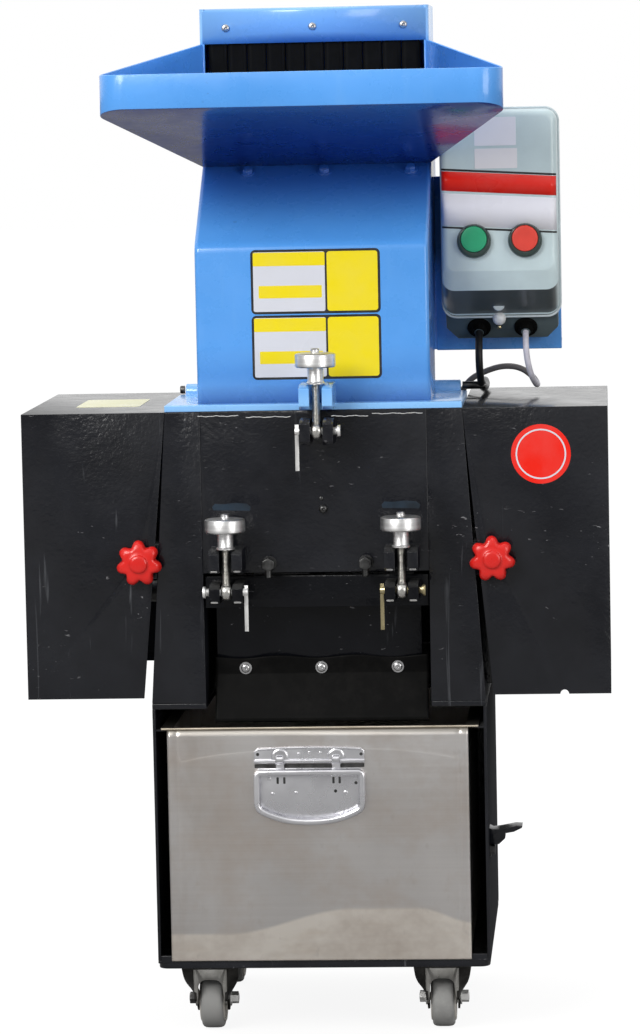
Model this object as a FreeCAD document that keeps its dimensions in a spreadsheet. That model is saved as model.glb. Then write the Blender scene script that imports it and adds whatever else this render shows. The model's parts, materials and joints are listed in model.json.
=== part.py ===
import FreeCAD, Part
import math
import os
import Sketcher

# Plastic shredder (small granulator) on four swivel casters.
# Millimetres, +Z up, origin at the bottom centre of the whole machine.
# The machine faces -Y: the hopper's tray, the swing bolts and the drawer are on that side.

Vector = FreeCAD.Vector
Rotation = FreeCAD.Rotation

doc = FreeCAD.newDocument("plastic_shredder")
sheet = doc.addObject("Spreadsheet::Sheet", "dims")

SIZES = (
    # Cabinet of folded sheet, open in front for the drawer
    ("cabinet_wide", 350, "outside width of the cabinet and of the body's foot"),
    ("cabinet_deep", 350, "front to back"),
    ("cabinet_low", 82, "underside of the cabinet above the floor"),
    ("cabinet_high", 276, "underside to top face"),
    ("cabinet_sheet", 3, "sheet of floor, sides and back"),
    ("cabinet_top_thick", 6, "plate that carries the body and the motor"),
    ("sill_high", 8, "folded lip below the drawer"),
    ("runner_wide", 12, "shelf that carries the drawer's rim"),
    ("runner_thick", 2, "thickness of that shelf"),
    # Drawer of bright sheet
    ("drawer_margin", 20, "room beside the drawer's front, to the cabinet's outside"),
    ("drawer_high", 242, "height of the drawer"),
    ("drawer_deep", 322, "front to back"),
    ("drawer_sheet", 1.5, "sheet of the drawer"),
    ("drawer_setback", 2, "front of the drawer behind the cabinet's front edges"),
    ("rim_margin", 8.5, "room beside the drawer's rim, to the cabinet's outside"),
    ("slide_gap", 0.3, "clearance under the rim and over the sill"),
    # Crushing body between two cheeks
    ("body_high", 306, "cheeks, cabinet top to hopper flange"),
    ("body_deep", 170, "front to back"),
    ("cheek_lean", 20, "a cheek's foot beyond its top"),
    ("cheek_foot", 57, "thickness of a cheek at its foot"),
    ("cheek_wall", 16, "wall left between the chamber and the cheek's recess"),
    ("cheek_edge", 18, "front and back edges of a cheek around its recess"),
    ("front_plate_high", 169, "front plate, down from the top"),
    ("front_plate_thick", 20, "front plate"),
    ("rear_plate_thick", 20, "rear plate"),
    ("rear_plate_high", 261, "rear plate, down from the top"),
    # Rotor, screen and cradle
    ("rotor_rise", 167, "rotor axis above the cabinet's top"),
    ("rotor_radius", 53, "tip circle of the knives"),
    ("rotor_core", 36, "radius of the rotor's core"),
    ("rotor_end_gap", 4, "between the rotor and each cheek"),
    ("knife_thick", 14, "rotor knife"),
    ("shaft_radius", 17.5, "rotor shaft"),
    ("shaft_gap", 0.3, "clearance round the shaft in the cheeks"),
    ("screen_gap", 4, "knife tips to screen"),
    ("screen_sheet", 3, "screen"),
    ("cradle_thick", 10, "ribs that carry the screen"),
    ("cradle_rib_wide", 16, "width of a rib"),
    ("cradle_gap", 1, "cradle to cheek"),
    ("cradle_bar_low", 100, "underside of the cradle's front bar above the cabinet's top"),
    ("cradle_bar_high", 33, "front bar"),
    ("cradle_bar_setback", 4, "front bar behind the body's front"),
    ("cradle_bar_deep", 30, "front bar, front to back"),
    ("skirt_gap", 10, "plate that hangs from the front bar, to each cheek"),
    ("skirt_low", 37, "lower edge of the skirt above the cabinet's top"),
    ("skirt_thick", 4, "plate of the skirt"),
    ("apron_gap", 6, "rubber apron over the drawer, to each cheek"),
    ("apron_thick", 3, "rubber"),
    ("apron_top", 45, "upper edge above the cabinet's top"),
    ("apron_bend", 27, "bend above the cabinet's top"),
    ("apron_hang", 21, "lower edge below the cabinet's top"),
    ("apron_reach", 20, "lower edge in front of the bend"),
    # Swing bolts
    ("clamp_inset", 27, "side bolts from the cheeks"),
    ("top_clamp_offset", 6, "top bolt to the right of the middle"),
    ("clamp_reach", 36, "bolt axis in front of the body"),
    ("clamp_pin_rise", 121, "side pivot pins above the cabinet's top"),
    ("top_pin_drop", 19, "top pivot pin below the body's top"),
    ("pin_radius", 4, "pivot pins"),
    ("pin_gap", 0.15, "clearance round a pin"),
    ("eye_radius", 8.5, "bolt's eye"),
    ("eye_wide", 11, "bolt's eye along its pin"),
    ("bolt_radius", 4.25, "bolt's shank"),
    ("lug_wide", 11, "one lug"),
    ("lug_slot", 13, "slot between two lugs"),
    ("lug_overhang", 9, "lug beyond the bolt's axis"),
    ("seat_rise", 165, "upper lugs' top face above the cabinet's top"),
    ("seat_high", 24, "height of the upper lugs"),
    ("pivot_lug_high", 20, "height of the lower lugs"),
    ("fork_high", 22, "hopper's lugs above its flange"),
    ("lug_chamfer", 4, "front edges of the lugs"),
    ("nut_gap", 0.3, "nut above its seat"),
    ("nut_collar_radius", 9, "collar of the thumb nut"),
    ("nut_collar_high", 18, "collar of the thumb nut"),
    ("nut_disc_radius", 21, "disc of the thumb nut"),
    ("nut_disc_high", 14, "disc of the thumb nut"),
    ("cotter_long", 41, "cotter that hangs from a pivot pin"),
    ("cotter_wide", 4, "cotter"),
    ("cotter_thick", 1.6, "cotter"),
    # Hopper of painted sheet
    ("flange_thick", 7, "base flange"),
    ("hopper_step", 4, "hopper's outside beyond the chamber's side"),
    ("hopper_sheet", 3, "sheet"),
    ("chute_setback", 20, "chute's front behind the body's front"),
    ("chute_deep", 130, "lower chute, front to back"),
    ("chute_high", 164, "flange to the front crease"),
    ("neck_high", 81, "front crease to joint line"),
    ("throat_setback", 136, "joint line behind the body's front"),
    ("box_high", 167, "joint line to the top"),
    ("box_deep", 120, "feed box, front to back"),
    ("back_crease_low", 69, "rear wall's lower crease above the flange"),
    ("back_crease_high", 189, "rear wall's upper crease above the flange"),
    ("band_high", 37, "front band over the mouth"),
    ("lip_reach", 108, "tray's lip in front of the body"),
    ("tray_flare", 96, "tray's lip beyond the hopper's side, before its corner is rounded"),
    ("lip_high", 35, "tray's lip"),
    ("tray_rise", 63, "lip's lower edge above the joint line"),
    ("tray_side_high", 130, "tray's sides above the joint line at the feed box"),
    ("tray_corner", 28, "rounded front corners"),
    ("curtain_thick", 3, "rubber curtain in the mouth"),
    ("curtain_gap", 6, "curtain to the box's sides and to the tray's floor"),
    # Side guards
    ("guard_wide", 130.5, "outer face of each guard beyond the cabinet's side"),
    ("guard_room", 14, "behind the motor's pulley, to the guard's back"),
    ("guard_low", 6, "lower edge above the cabinet's top"),
    ("guard_sheet", 2, "sheet"),
    ("guard_wedge", 8, "gap to the cheek at the lower edge"),
    ("notch_wide", 9, "half-round notch in the right guard's lower edge"),
    ("notch_offset", 74, "notch from the guard's inner lower corner"),
    ("knob_out", 9, "star knobs beyond the cabinet's side"),
    ("knob_rise", 149, "star knobs above the cabinet's top"),
    ("knob_radius", 24, "tip circle of the star knob"),
    ("knob_thick", 14, "star knob"),
    ("knob_stem", 4, "radius of the knob's stud"),
    ("tab_wide", 34, "tab on the cheek that takes the knob's stud"),
    ("tab_thick", 12, "tab on the cheek"),
    # Drive behind and beside the body
    ("motor_setback", 262, "motor axis behind the body's front"),
    ("motor_rise", 90, "motor axis above the cabinet's top"),
    ("motor_radius", 68, "motor's barrel"),
    ("motor_fin", 12, "height of its fins"),
    ("motor_long", 190, "finned barrel"),
    ("motor_bell", 22, "length of an end bell"),
    ("motor_offset", 20, "middle of the barrel to the right of the middle"),
    ("motor_shaft", 12, "radius of the motor's shaft"),
    ("motor_foot_wide", 32, "each foot along the motor"),
    ("terminal_wide", 76, "terminal box along the motor"),
    ("terminal_deep", 68, "terminal box, front to back"),
    ("terminal_high", 34, "terminal box above the fins"),
    ("pulley_out", 57, "middle of the pulleys beyond the cabinet's left side"),
    ("pulley_wide", 40, "both pulleys"),
    ("rotor_pulley", 70, "radius of the pulley on the rotor"),
    ("motor_pulley", 36, "radius of the pulley on the motor"),
    ("belt_thick", 7, "belt"),
    ("belt_wide", 26, "belt"),
    ("belt_gap", 0.3, "belt to pulley"),
    ("flywheel_radius", 77, "flywheel on the right"),
    ("flywheel_wide", 36, "flywheel"),
    ("flywheel_out", 59, "middle of the flywheel beyond the cabinet's right side"),
    # Starter box on the hopper's right side
    ("starter_plate_wide", 135, "carrying plate, out from the hopper"),
    ("starter_plate_high", 188, "carrying plate"),
    ("starter_plate_low", 41, "carrying plate above the flange"),
    ("starter_plate_setback", 212, "carrying plate behind the body's front"),
    ("starter_plate_thick", 3, "carrying plate"),
    ("starter_wide", 124, "starter box"),
    ("starter_high", 245, "starter box"),
    ("starter_low", 55, "starter box above the flange"),
    ("starter_gap", 10, "starter box to the hopper's side"),
    ("starter_deep", 102, "starter box, front to back"),
    ("starter_base_deep", 44, "rear half of the box"),
    ("starter_step", 22, "cover's lower edge above the base's"),
    ("starter_round", 12, "rounded edges of the cover"),
    ("starter_ridge", 75, "edge where the cover turns back, above the box's lower end"),
    ("starter_nose", 54, "edge above the cover's slanting underside"),
    ("starter_nose_back", 8, "that edge behind the cover's front"),
    ("starter_rim_high", 8, "rim along the cover's lower edge"),
    ("starter_rim_deep", 4, "rim along the cover's lower edge"),
    ("starter_chin", 18, "slant of the base's lower front, front to back"),
    ("starter_chin_high", 24, "slant of the base's lower front"),
    ("starter_corner", 12, "lower corners of the base"),
    ("button_radius", 15, "push buttons"),
    ("button_ring", 17, "rings round the buttons"),
    ("button_spread", 54, "between the buttons"),
    ("button_rise", 109, "buttons above the box's lower edge"),
    ("button_proud", 8, "button in front of the cover"),
    ("button_travel", 4, "push"),
    ("gland_radius", 7.5, "cable glands"),
    ("gland_long", 9, "cable glands"),
    ("grommet_radius", 11.5, "flange of a gland"),
    ("grommet_thick", 2, "flange of a gland"),
    ("gland_spread", 50, "between the glands"),
    ("black_lead_radius", 4, "black lead"),
    ("grey_lead_radius", 3.25, "grey lead"),
    # Chest handle on the drawer
    ("handle_wide", 118, "handle"),
    ("handle_high", 82, "handle"),
    ("handle_low", 142, "handle's lower edge above the drawer's bottom"),
    ("handle_offset", 9, "handle to the left of the middle"),
    ("handle_strip", 23, "hinge strip"),
    ("handle_bow", 9, "bowed lower edge of the back plate"),
    ("handle_sheet", 1.5, "pressed sheet"),
    ("bail_radius", 3.5, "bail's rod"),
    ("bail_wide", 108, "bail over its sides, rod axis to rod axis"),
    ("bail_drop", 50, "bail below its hinge"),
    ("bail_corner", 24, "rounded corners of the bail"),
    ("knuckle_radius", 6, "hinge knuckles"),
    ("knuckle_wide", 16, "hinge knuckles"),
    ("knuckle_spread", 58, "between the knuckles"),
    # Casters
    ("caster_side_inset", 52, "swivel axes from the cabinet's sides"),
    ("caster_inset", 45, "front and rear swivel axes from the cabinet's edges"),
    ("caster_trail", 20, "axle behind the swivel axis"),
    ("caster_plate", 62, "square top plate"),
    ("caster_plate_thick", 3, "top plate"),
    ("wheel_radius", 32, "wheel"),
    ("wheel_wide", 27, "wheel"),
    ("fork_sheet", 2.5, "sheet of the fork"),
    ("fork_gap", 2, "wheel to fork"),
    ("fork_shoulder", 22, "swivel race at the crown plate"),
    ("fork_race", 29, "swivel race at the top plate"),
    ("fork_hood", 16, "front wall of the fork below its crown"),
    ("fork_arch", 10, "radius of the arch in that wall"),
    ("kingpin_radius", 5, "swivel pin"),
    ("axle_radius", 4, "wheel axle"),
    # Small lever on the cabinet's right side
    ("lever_long", 36, "out from the cabinet"),
    ("lever_rise", 136, "above the cabinet's underside"),
    ("lever_setback", 40, "behind the cabinet's front"),
    ("lever_deep", 26, "front to back"),
)

for row, (alias, value, note) in enumerate(SIZES, start=1):
    sheet.set(f"A{row}", alias)
    sheet.set(f"B{row}", str(value))
    sheet.set(f"C{row}", note)
    sheet.setAlias(f"B{row}", alias)
doc.recompute()

# Places worked out from the driving sizes, as formulas for the objects below
DRAWER_WIDE = "(dims.cabinet_wide - 2 * dims.drawer_margin)"
RIM_WIDE = "(dims.cabinet_wide - 2 * dims.rim_margin)"
BODY_TOP_WIDE = "(dims.cabinet_wide - 2 * dims.cheek_lean)"
CHAMBER_WIDE = "(dims.cabinet_wide - 2 * dims.cheek_foot)"
SKIRT_WIDE = f"({CHAMBER_WIDE} - 2 * dims.skirt_gap)"
APRON_WIDE = f"({CHAMBER_WIDE} - 2 * dims.apron_gap)"
CLAMP_SPREAD = f"({CHAMBER_WIDE} / 2 - dims.clamp_inset)"
HOPPER_WIDE = f"({CHAMBER_WIDE} + 2 * dims.hopper_step)"
LIP_WIDE = f"({HOPPER_WIDE} + 2 * dims.tray_flare)"
GUARD_REACH = "(dims.cabinet_wide / 2 + dims.guard_wide)"
GUARD_DEEP = "(dims.motor_setback + dims.motor_pulley + dims.guard_room)"
KNOB_SPREAD = "(dims.cabinet_wide / 2 + dims.knob_out)"
PULLEY_PLACE = "(dims.cabinet_wide / 2 + dims.pulley_out)"
FLYWHEEL_PLACE = "(dims.cabinet_wide / 2 + dims.flywheel_out)"
CASTER_SPREAD = "(dims.cabinet_wide / 2 - dims.caster_side_inset)"
FRONT = "((dims.lip_reach - dims.cabinet_deep) / 2)"
CABINET_TOP = "(dims.cabinet_low + dims.cabinet_high)"
BODY_TOP = f"({CABINET_TOP} + dims.body_high)"
FLANGE_TOP = f"({BODY_TOP} + dims.flange_thick)"
CREASE = f"({FLANGE_TOP} + dims.chute_high)"
JOINT_LINE = f"({CREASE} + dims.neck_high)"
HOPPER_TOP = f"({JOINT_LINE} + dims.box_high)"
ROTOR_Y = f"({FRONT} + dims.body_deep / 2)"
ROTOR_Z = f"({CABINET_TOP} + dims.rotor_rise)"
SCREEN_RADIUS = "(dims.rotor_radius + dims.screen_gap)"
CRADLE_RADIUS = f"({SCREEN_RADIUS} + dims.screen_sheet)"
CRADLE_TOP = f"({BODY_TOP} - dims.front_plate_high - dims.slide_gap)"
BOLT_Y = f"({FRONT} - dims.clamp_reach)"
SIDE_PIN_Z = f"({CABINET_TOP} + dims.clamp_pin_rise)"
TOP_PIN_Z = f"({BODY_TOP} - dims.top_pin_drop)"
SIDE_SEAT_Z = f"({CABINET_TOP} + dims.seat_rise)"
TOP_SEAT_Z = f"({FLANGE_TOP} + dims.fork_high)"
THROAT_Y = f"({FRONT} + dims.throat_setback)"
BOX_BACK_Y = f"({THROAT_Y} + dims.box_deep)"
CHUTE_Y = f"({FRONT} + dims.chute_setback)"
CHUTE_BACK_Y = f"({CHUTE_Y} + dims.chute_deep)"
MOTOR_Y = f"({FRONT} + dims.motor_setback)"
MOTOR_Z = f"({CABINET_TOP} + dims.motor_rise)"
KNOB_Z = f"({CABINET_TOP} + dims.knob_rise)"
STARTER_X = f"({HOPPER_WIDE} / 2 + dims.starter_gap)"
STARTER_Z = f"({FLANGE_TOP} + dims.starter_low)"
STARTER_BACK_Y = f"({FRONT} + dims.starter_plate_setback)"
STARTER_FRONT_Y = f"({STARTER_BACK_Y} - dims.starter_deep)"
BUTTON_Z = f"({STARTER_Z} + dims.button_rise)"
DRAWER_Y = f"({FRONT} + dims.drawer_setback)"
DRAWER_Z = "(dims.cabinet_low + dims.sill_high + dims.slide_gap)"
HANDLE_Z = f"({DRAWER_Z} + dims.handle_low)"
BAIL_Z = f"({HANDLE_Z} + dims.handle_high - dims.handle_strip - dims.knuckle_radius / 2)"
BAIL_Y = f"({DRAWER_Y} - dims.handle_sheet - dims.knuckle_radius)"

# Turns that lay a piece drawn along Z on another axis
ALONG = {
    "X": Rotation(Vector(0, 1, 0), 90),
    "Y": Rotation(Vector(1, 0, 0), -90),
    "Z": Rotation(),
    "CHIN": Rotation(Vector(0, 0, 1), Vector(0, -sheet.starter_chin_high, -sheet.starter_chin)),
}

subparts = []


def keep(piece):
    """Count a finished piece as one of the machine's sub-parts."""
    subparts.append(piece)
    return piece


def bind(feature, formulas):
    """Tie properties of a feature to formulas over the sheet."""
    for path, formula in formulas.items():
        feature.setExpression(path, str(formula))


def place(feature, x, y, z, along="Z"):
    """Put a piece's own origin at a place in the machine, turned along an axis."""
    feature.Placement = FreeCAD.Placement(Vector(), ALONG[along])
    bind(feature, {"Placement.Base.x": x, "Placement.Base.y": y, "Placement.Base.z": z})
    return feature


def box(label, x, y, z, wide, deep, high):
    """A block from its low corner."""
    piece = doc.addObject("Part::Box", label)
    bind(piece, {"Length": wide, "Width": deep, "Height": high})
    return place(piece, x, y, z)


def rod(label, along, x, y, z, radius, length):
    """A round bar that starts at a point and runs along an axis."""
    piece = doc.addObject("Part::Cylinder", label)
    bind(piece, {"Radius": radius, "Height": length})
    return place(piece, x, y, z, along)


def fused(label, pieces):
    """Pieces that are one piece of metal."""
    piece = doc.addObject("Part::MultiFuse", label)
    piece.Shapes = pieces
    piece.Refine = True
    return piece


def cut(label, base, tool):
    """A piece with a space taken out of it."""
    piece = doc.addObject("Part::Cut", label)
    piece.Base = base
    piece.Tool = tool
    return piece


def common(label, first, second):
    """The stretch that two pieces share."""
    piece = doc.addObject("Part::Common", label)
    piece.Base = first
    piece.Tool = second
    return piece


def sketch_on(body, role, label):
    """An empty sketch on one of the body's own origin planes."""
    sketch = body.newObject("Sketcher::SketchObject", label)
    plane = [item for item in body.Origin.OriginFeatures if item.Role == role][0]
    sketch.AttachmentSupport = [(plane, "")]
    sketch.MapMode = "FlatFace"
    return sketch


def draw_outline(sketch, corners):
    """A closed outline of straight edges whose corners follow formulas."""
    count = len(corners)
    first = sketch.GeometryCount
    start = [
        Vector(10 * math.cos(2 * math.pi * i / count), 10 * math.sin(2 * math.pi * i / count), 0)
        for i in range(count)
    ]
    for i in range(count):
        sketch.addGeometry(Part.LineSegment(start[i], start[(i + 1) % count]), False)
    for i in range(count):
        following = first + (i + 1) % count
        sketch.addConstraint(Sketcher.Constraint("Coincident", first + i, 2, following, 1))
    for i, corner in enumerate(corners):
        for kind, formula, value in zip(("DistanceX", "DistanceY"), corner, start[i]):
            rule = Sketcher.Constraint(kind, -1, 1, first + i, 1, value)
            index = sketch.addConstraint(rule)
            sketch.setExpression(f"Constraints[{index}]", str(formula))


def draw_circle(sketch, x, y, radius):
    """A circle whose centre and radius follow formulas."""
    circle = sketch.addGeometry(Part.Circle(Vector(0, 0, 0), Vector(0, 0, 1), 5), False)
    for rule, formula in (
        (Sketcher.Constraint("DistanceX", -1, 1, circle, 3, 0.0), x),
        (Sketcher.Constraint("DistanceY", -1, 1, circle, 3, 0.0), y),
        (Sketcher.Constraint("Radius", circle, 5.0), radius),
    ):
        index = sketch.addConstraint(rule)
        sketch.setExpression(f"Constraints[{index}]", str(formula))


def plate(label, role, corners, start, thick, holes=()):
    """A flat plate: an outline on a plane, moved along the plane's normal and made thick."""
    body = doc.addObject("PartDesign::Body", label)
    sketch = sketch_on(body, role, f"{label}_outline")
    draw_outline(sketch, corners)
    for x, y, radius in holes:
        draw_circle(sketch, x, y, radius)
    pad = body.newObject("PartDesign::Pad", f"{label}_thickness")
    pad.Profile = sketch
    pad.Reversed = role == "XZ_Plane"
    bind(pad, {"Length": thick})
    axis = {"XY_Plane": "z", "XZ_Plane": "y", "YZ_Plane": "x"}[role]
    bind(body, {f"Placement.Base.{axis}": start})
    return body


def turned(label, profile, x, y, z, along="Z"):
    """A turned piece: a profile of radius and height, spun about its own axis."""
    body = doc.addObject("PartDesign::Body", label)
    sketch = sketch_on(body, "XZ_Plane", f"{label}_profile")
    draw_outline(sketch, profile)
    spin = body.newObject("PartDesign::Revolution", f"{label}_spin")
    spin.Profile = sketch
    spin.ReferenceAxis = (sketch, ["V_Axis"])
    spin.Angle = 360
    return place(body, x, y, z, along)


def arc_rod(label, points, radius, bend):
    """A round rod along straight runs joined by tangent arcs of one radius."""
    edges = []
    here = points[0]
    for before, corner, after in zip(points, points[1:], points[2:]):
        inward = (before - corner).normalize()
        outward = (after - corner).normalize()
        turn = math.pi - inward.getAngle(outward)
        back = bend * math.tan(turn / 2)
        enter = corner + inward * back
        leave = corner + outward * back
        middle = (inward + outward).normalize()
        apex = corner + middle * (bend / math.cos(turn / 2) - bend)
        edges.append(Part.LineSegment(here, enter).toShape())
        edges.append(Part.Arc(enter, apex, leave).toShape())
        here = leave
    edges.append(Part.LineSegment(here, points[-1]).toShape())
    piece = doc.addObject("Part::Feature", label)
    start = Part.Circle(points[0], points[1] - points[0], radius)
    piece.Shape = Part.Wire(edges).makePipeShell([Part.Wire(start.toShape())], True, True)
    return piece


def lead(label, points, radius):
    """A flexible lead: each bend is as wide as its two runs allow."""
    edges = []
    here = points[0]
    for before, corner, after in zip(points, points[1:], points[2:]):
        inward = before - corner
        outward = after - corner
        turn = math.pi - inward.getAngle(outward)
        back = 0.45 * min(inward.Length, outward.Length)
        bend = back / math.tan(turn / 2)
        print(f"{label} bend radius {bend:.1f}")
        inward.normalize()
        outward.normalize()
        enter = corner + inward * back
        leave = corner + outward * back
        middle = (inward + outward).normalize()
        apex = corner + middle * (bend / math.cos(turn / 2) - bend)
        edges.append(Part.LineSegment(here, enter).toShape())
        edges.append(Part.Arc(enter, apex, leave).toShape())
        here = leave
    edges.append(Part.LineSegment(here, points[-1]).toShape())
    route = Part.Wire(edges)
    piece = doc.addObject("Part::Feature", label)
    start = Part.Circle(points[0], points[1] - points[0], radius)
    piece.Shape = route.makePipeShell([Part.Wire(start.toShape())], True, True)
    share = piece.Shape.Volume / (math.pi * radius ** 2 * route.Length)
    print(f"{label} volume over section times length {share:.4f}")
    return piece


def mirror_sign(side):
    """Left pieces lie at negative X."""
    return "-" if side == "left" else ""


def make_cabinet():
    """Folded cabinet: floor with a front sill, two sides with runners, a back and a top."""
    inner_high = "dims.cabinet_high - dims.cabinet_sheet - dims.cabinet_top_thick"
    floor = box("cabinet_floor_sheet", "-dims.cabinet_wide / 2", FRONT, "dims.cabinet_low",
                "dims.cabinet_wide", "dims.cabinet_deep", "dims.cabinet_sheet")
    sill = box("cabinet_sill", "-dims.cabinet_wide / 2 + dims.cabinet_sheet", FRONT,
               "dims.cabinet_low", "dims.cabinet_wide - 2 * dims.cabinet_sheet",
               "dims.cabinet_sheet", "dims.sill_high")
    pieces = [floor, sill]
    for side in ("left", "right"):
        for end in ("front", "rear"):
            pieces += caster_mount(side, end)
    keep(fused("cabinet_floor", pieces))
    runner_z = f"{DRAWER_Z} + dims.drawer_high - dims.drawer_sheet - dims.slide_gap"
    for side in ("left", "right"):
        sign = mirror_sign(side)
        edge = "-dims.cabinet_wide / 2" if side == "left" else (
            "dims.cabinet_wide / 2 - dims.cabinet_sheet")
        runner_x = "-dims.cabinet_wide / 2 + dims.cabinet_sheet / 2" if side == "left" else (
            "dims.cabinet_wide / 2 - dims.cabinet_sheet / 2 - dims.runner_wide")
        wall = box(f"cabinet_{side}_sheet", edge, FRONT, "dims.cabinet_low + dims.cabinet_sheet",
                   "dims.cabinet_sheet", "dims.cabinet_deep", inner_high)
        runner = box(f"cabinet_{side}_runner", runner_x, f"{FRONT} + dims.cabinet_sheet",
                     f"{runner_z} - dims.runner_thick", "dims.runner_wide",
                     "dims.cabinet_deep - 3 * dims.cabinet_sheet", "dims.runner_thick")
        keep(fused(f"cabinet_{side}", [wall, runner]))
    keep(box("cabinet_back", "-dims.cabinet_wide / 2 + dims.cabinet_sheet",
             f"{FRONT} + dims.cabinet_deep - dims.cabinet_sheet",
             "dims.cabinet_low + dims.cabinet_sheet",
             "dims.cabinet_wide - 2 * dims.cabinet_sheet", "dims.cabinet_sheet", inner_high))
    half = "dims.cabinet_wide / 2"
    gap = f"{CHAMBER_WIDE} / 2"
    gap_back = f"{FRONT} + dims.body_deep - dims.rear_plate_thick"
    back = f"{FRONT} + dims.cabinet_deep"
    keep(plate("cabinet_top", "XY_Plane",
               [(f"-{half}", FRONT), (f"-{gap}", FRONT), (f"-{gap}", gap_back),
                (gap, gap_back), (gap, FRONT), (half, FRONT), (half, back), (f"-{half}", back)],
               f"{CABINET_TOP} - dims.cabinet_top_thick", "dims.cabinet_top_thick"))


def caster_place(side, end):
    """Swivel axis of one caster."""
    x = f"({mirror_sign(side)}{CASTER_SPREAD})"
    if end == "front":
        return x, f"({FRONT} + dims.caster_inset)"
    return x, f"({FRONT} + dims.cabinet_deep - dims.caster_inset - dims.caster_trail)"


PLATE_Z = "(dims.cabinet_low - dims.caster_plate_thick)"
CROWN_Z = "(2 * dims.wheel_radius + dims.fork_gap)"


def caster_mount(side, end):
    """Square top plate and swivel pin of one caster."""
    x, y = caster_place(side, end)
    name = f"caster_{end}_{side}"
    square = box(f"{name}_plate", f"{x} - dims.caster_plate / 2", f"{y} - dims.caster_plate / 2",
                 PLATE_Z, "dims.caster_plate", "dims.caster_plate",
                 "dims.caster_plate_thick + dims.cabinet_sheet / 2")
    pin_low = f"({CROWN_Z} + 1)"
    pin = rod(f"{name}_kingpin", "Z", x, y, pin_low, "dims.kingpin_radius",
              f"{PLATE_Z} - {pin_low} + 1")
    return [square, pin]


def make_caster(side, end):
    """Fork that swivels on its pin, and the wheel on the fork's axle."""
    x, y = caster_place(side, end)
    name = f"{end}_{side}"
    axle_y = f"({y} + dims.caster_trail)"
    reach = "(dims.wheel_wide / 2 + dims.fork_gap)"
    head_top = f"({PLATE_Z} - dims.slide_gap)"
    crown = box(f"fork_{name}_crown", f"{x} - {reach} - dims.fork_sheet",
                f"{y} - dims.caster_trail", CROWN_Z, f"2 * ({reach} + dims.fork_sheet)",
                "2 * dims.caster_trail", "dims.fork_sheet")
    head = turned(f"fork_{name}_head",
                  [("0", "0"), ("dims.fork_shoulder", "0"),
                   ("dims.fork_race", f"{head_top} - {CROWN_Z}"), ("0", f"{head_top} - {CROWN_Z}")],
                  x, y, CROWN_Z)
    wall = box(f"fork_{name}_wall", f"{x} - {reach} - dims.fork_sheet",
               f"{y} - dims.caster_trail", f"{CROWN_Z} - dims.fork_hood",
               f"2 * ({reach} + dims.fork_sheet)", "dims.fork_sheet", "dims.fork_hood")
    arch = rod(f"fork_{name}_arch", "Y", x, f"{y} - 2 * dims.caster_trail",
               f"{CROWN_Z} - dims.fork_hood", "dims.fork_arch", "2 * dims.caster_trail")
    pieces = [crown, head, cut(f"fork_{name}_hood", wall, arch)]
    for leg, start in (("outer", f"{x} - {reach} - dims.fork_sheet"), ("inner", f"{x} + {reach}")):
        pieces.append(plate(
            f"fork_{name}_{leg}", "YZ_Plane",
            [(f"{y} - dims.caster_trail", f"{CROWN_Z} + dims.fork_sheet"),
             (f"{y} - dims.caster_trail", f"{CROWN_Z} - 6"),
             (f"{axle_y} - 9", "dims.wheel_radius - 5"),
             (f"{axle_y} - 5", "dims.wheel_radius - 9"),
             (f"{axle_y} + 5", "dims.wheel_radius - 9"),
             (f"{axle_y} + 9", "dims.wheel_radius - 5"),
             (f"{axle_y} + 9", f"{CROWN_Z} - 6"),
             (f"{y} + dims.caster_trail", f"{CROWN_Z} + dims.fork_sheet")],
            start, "dims.fork_sheet"))
    pieces.append(rod(f"fork_{name}_axle", "X", f"{x} - {reach} - dims.fork_sheet - 5", axle_y,
                      "dims.wheel_radius", "dims.axle_radius",
                      f"2 * ({reach} + dims.fork_sheet + 5)"))
    whole = fused(f"fork_{name}_whole", pieces)
    bore = rod(f"fork_{name}_bore", "Z", x, y, f"{CROWN_Z} - 1",
               "dims.kingpin_radius + dims.slide_gap", f"{head_top} - {CROWN_Z} + 2")
    keep(cut(f"fork_{name}", whole, bore))
    hub = "(dims.axle_radius + dims.slide_gap)"
    half = "dims.wheel_wide / 2"
    keep(turned(
        f"wheel_{name}",
        [(hub, f"-{half}"), ("dims.wheel_radius * 0.36", f"-{half}"),
         ("dims.wheel_radius * 0.42", f"-{half} + 4"), ("dims.wheel_radius * 0.72", f"-{half} + 4"),
         ("dims.wheel_radius * 0.78", f"-{half}"), ("dims.wheel_radius - 4", f"-{half}"),
         ("dims.wheel_radius", f"-{half} + 5"), ("dims.wheel_radius", f"{half} - 5"),
         ("dims.wheel_radius - 4", half), ("dims.wheel_radius * 0.78", half),
         ("dims.wheel_radius * 0.72", f"{half} - 4"), ("dims.wheel_radius * 0.42", f"{half} - 4"),
         ("dims.wheel_radius * 0.36", half), (hub, half)],
        x, axle_y, "dims.wheel_radius", "X"))


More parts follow.
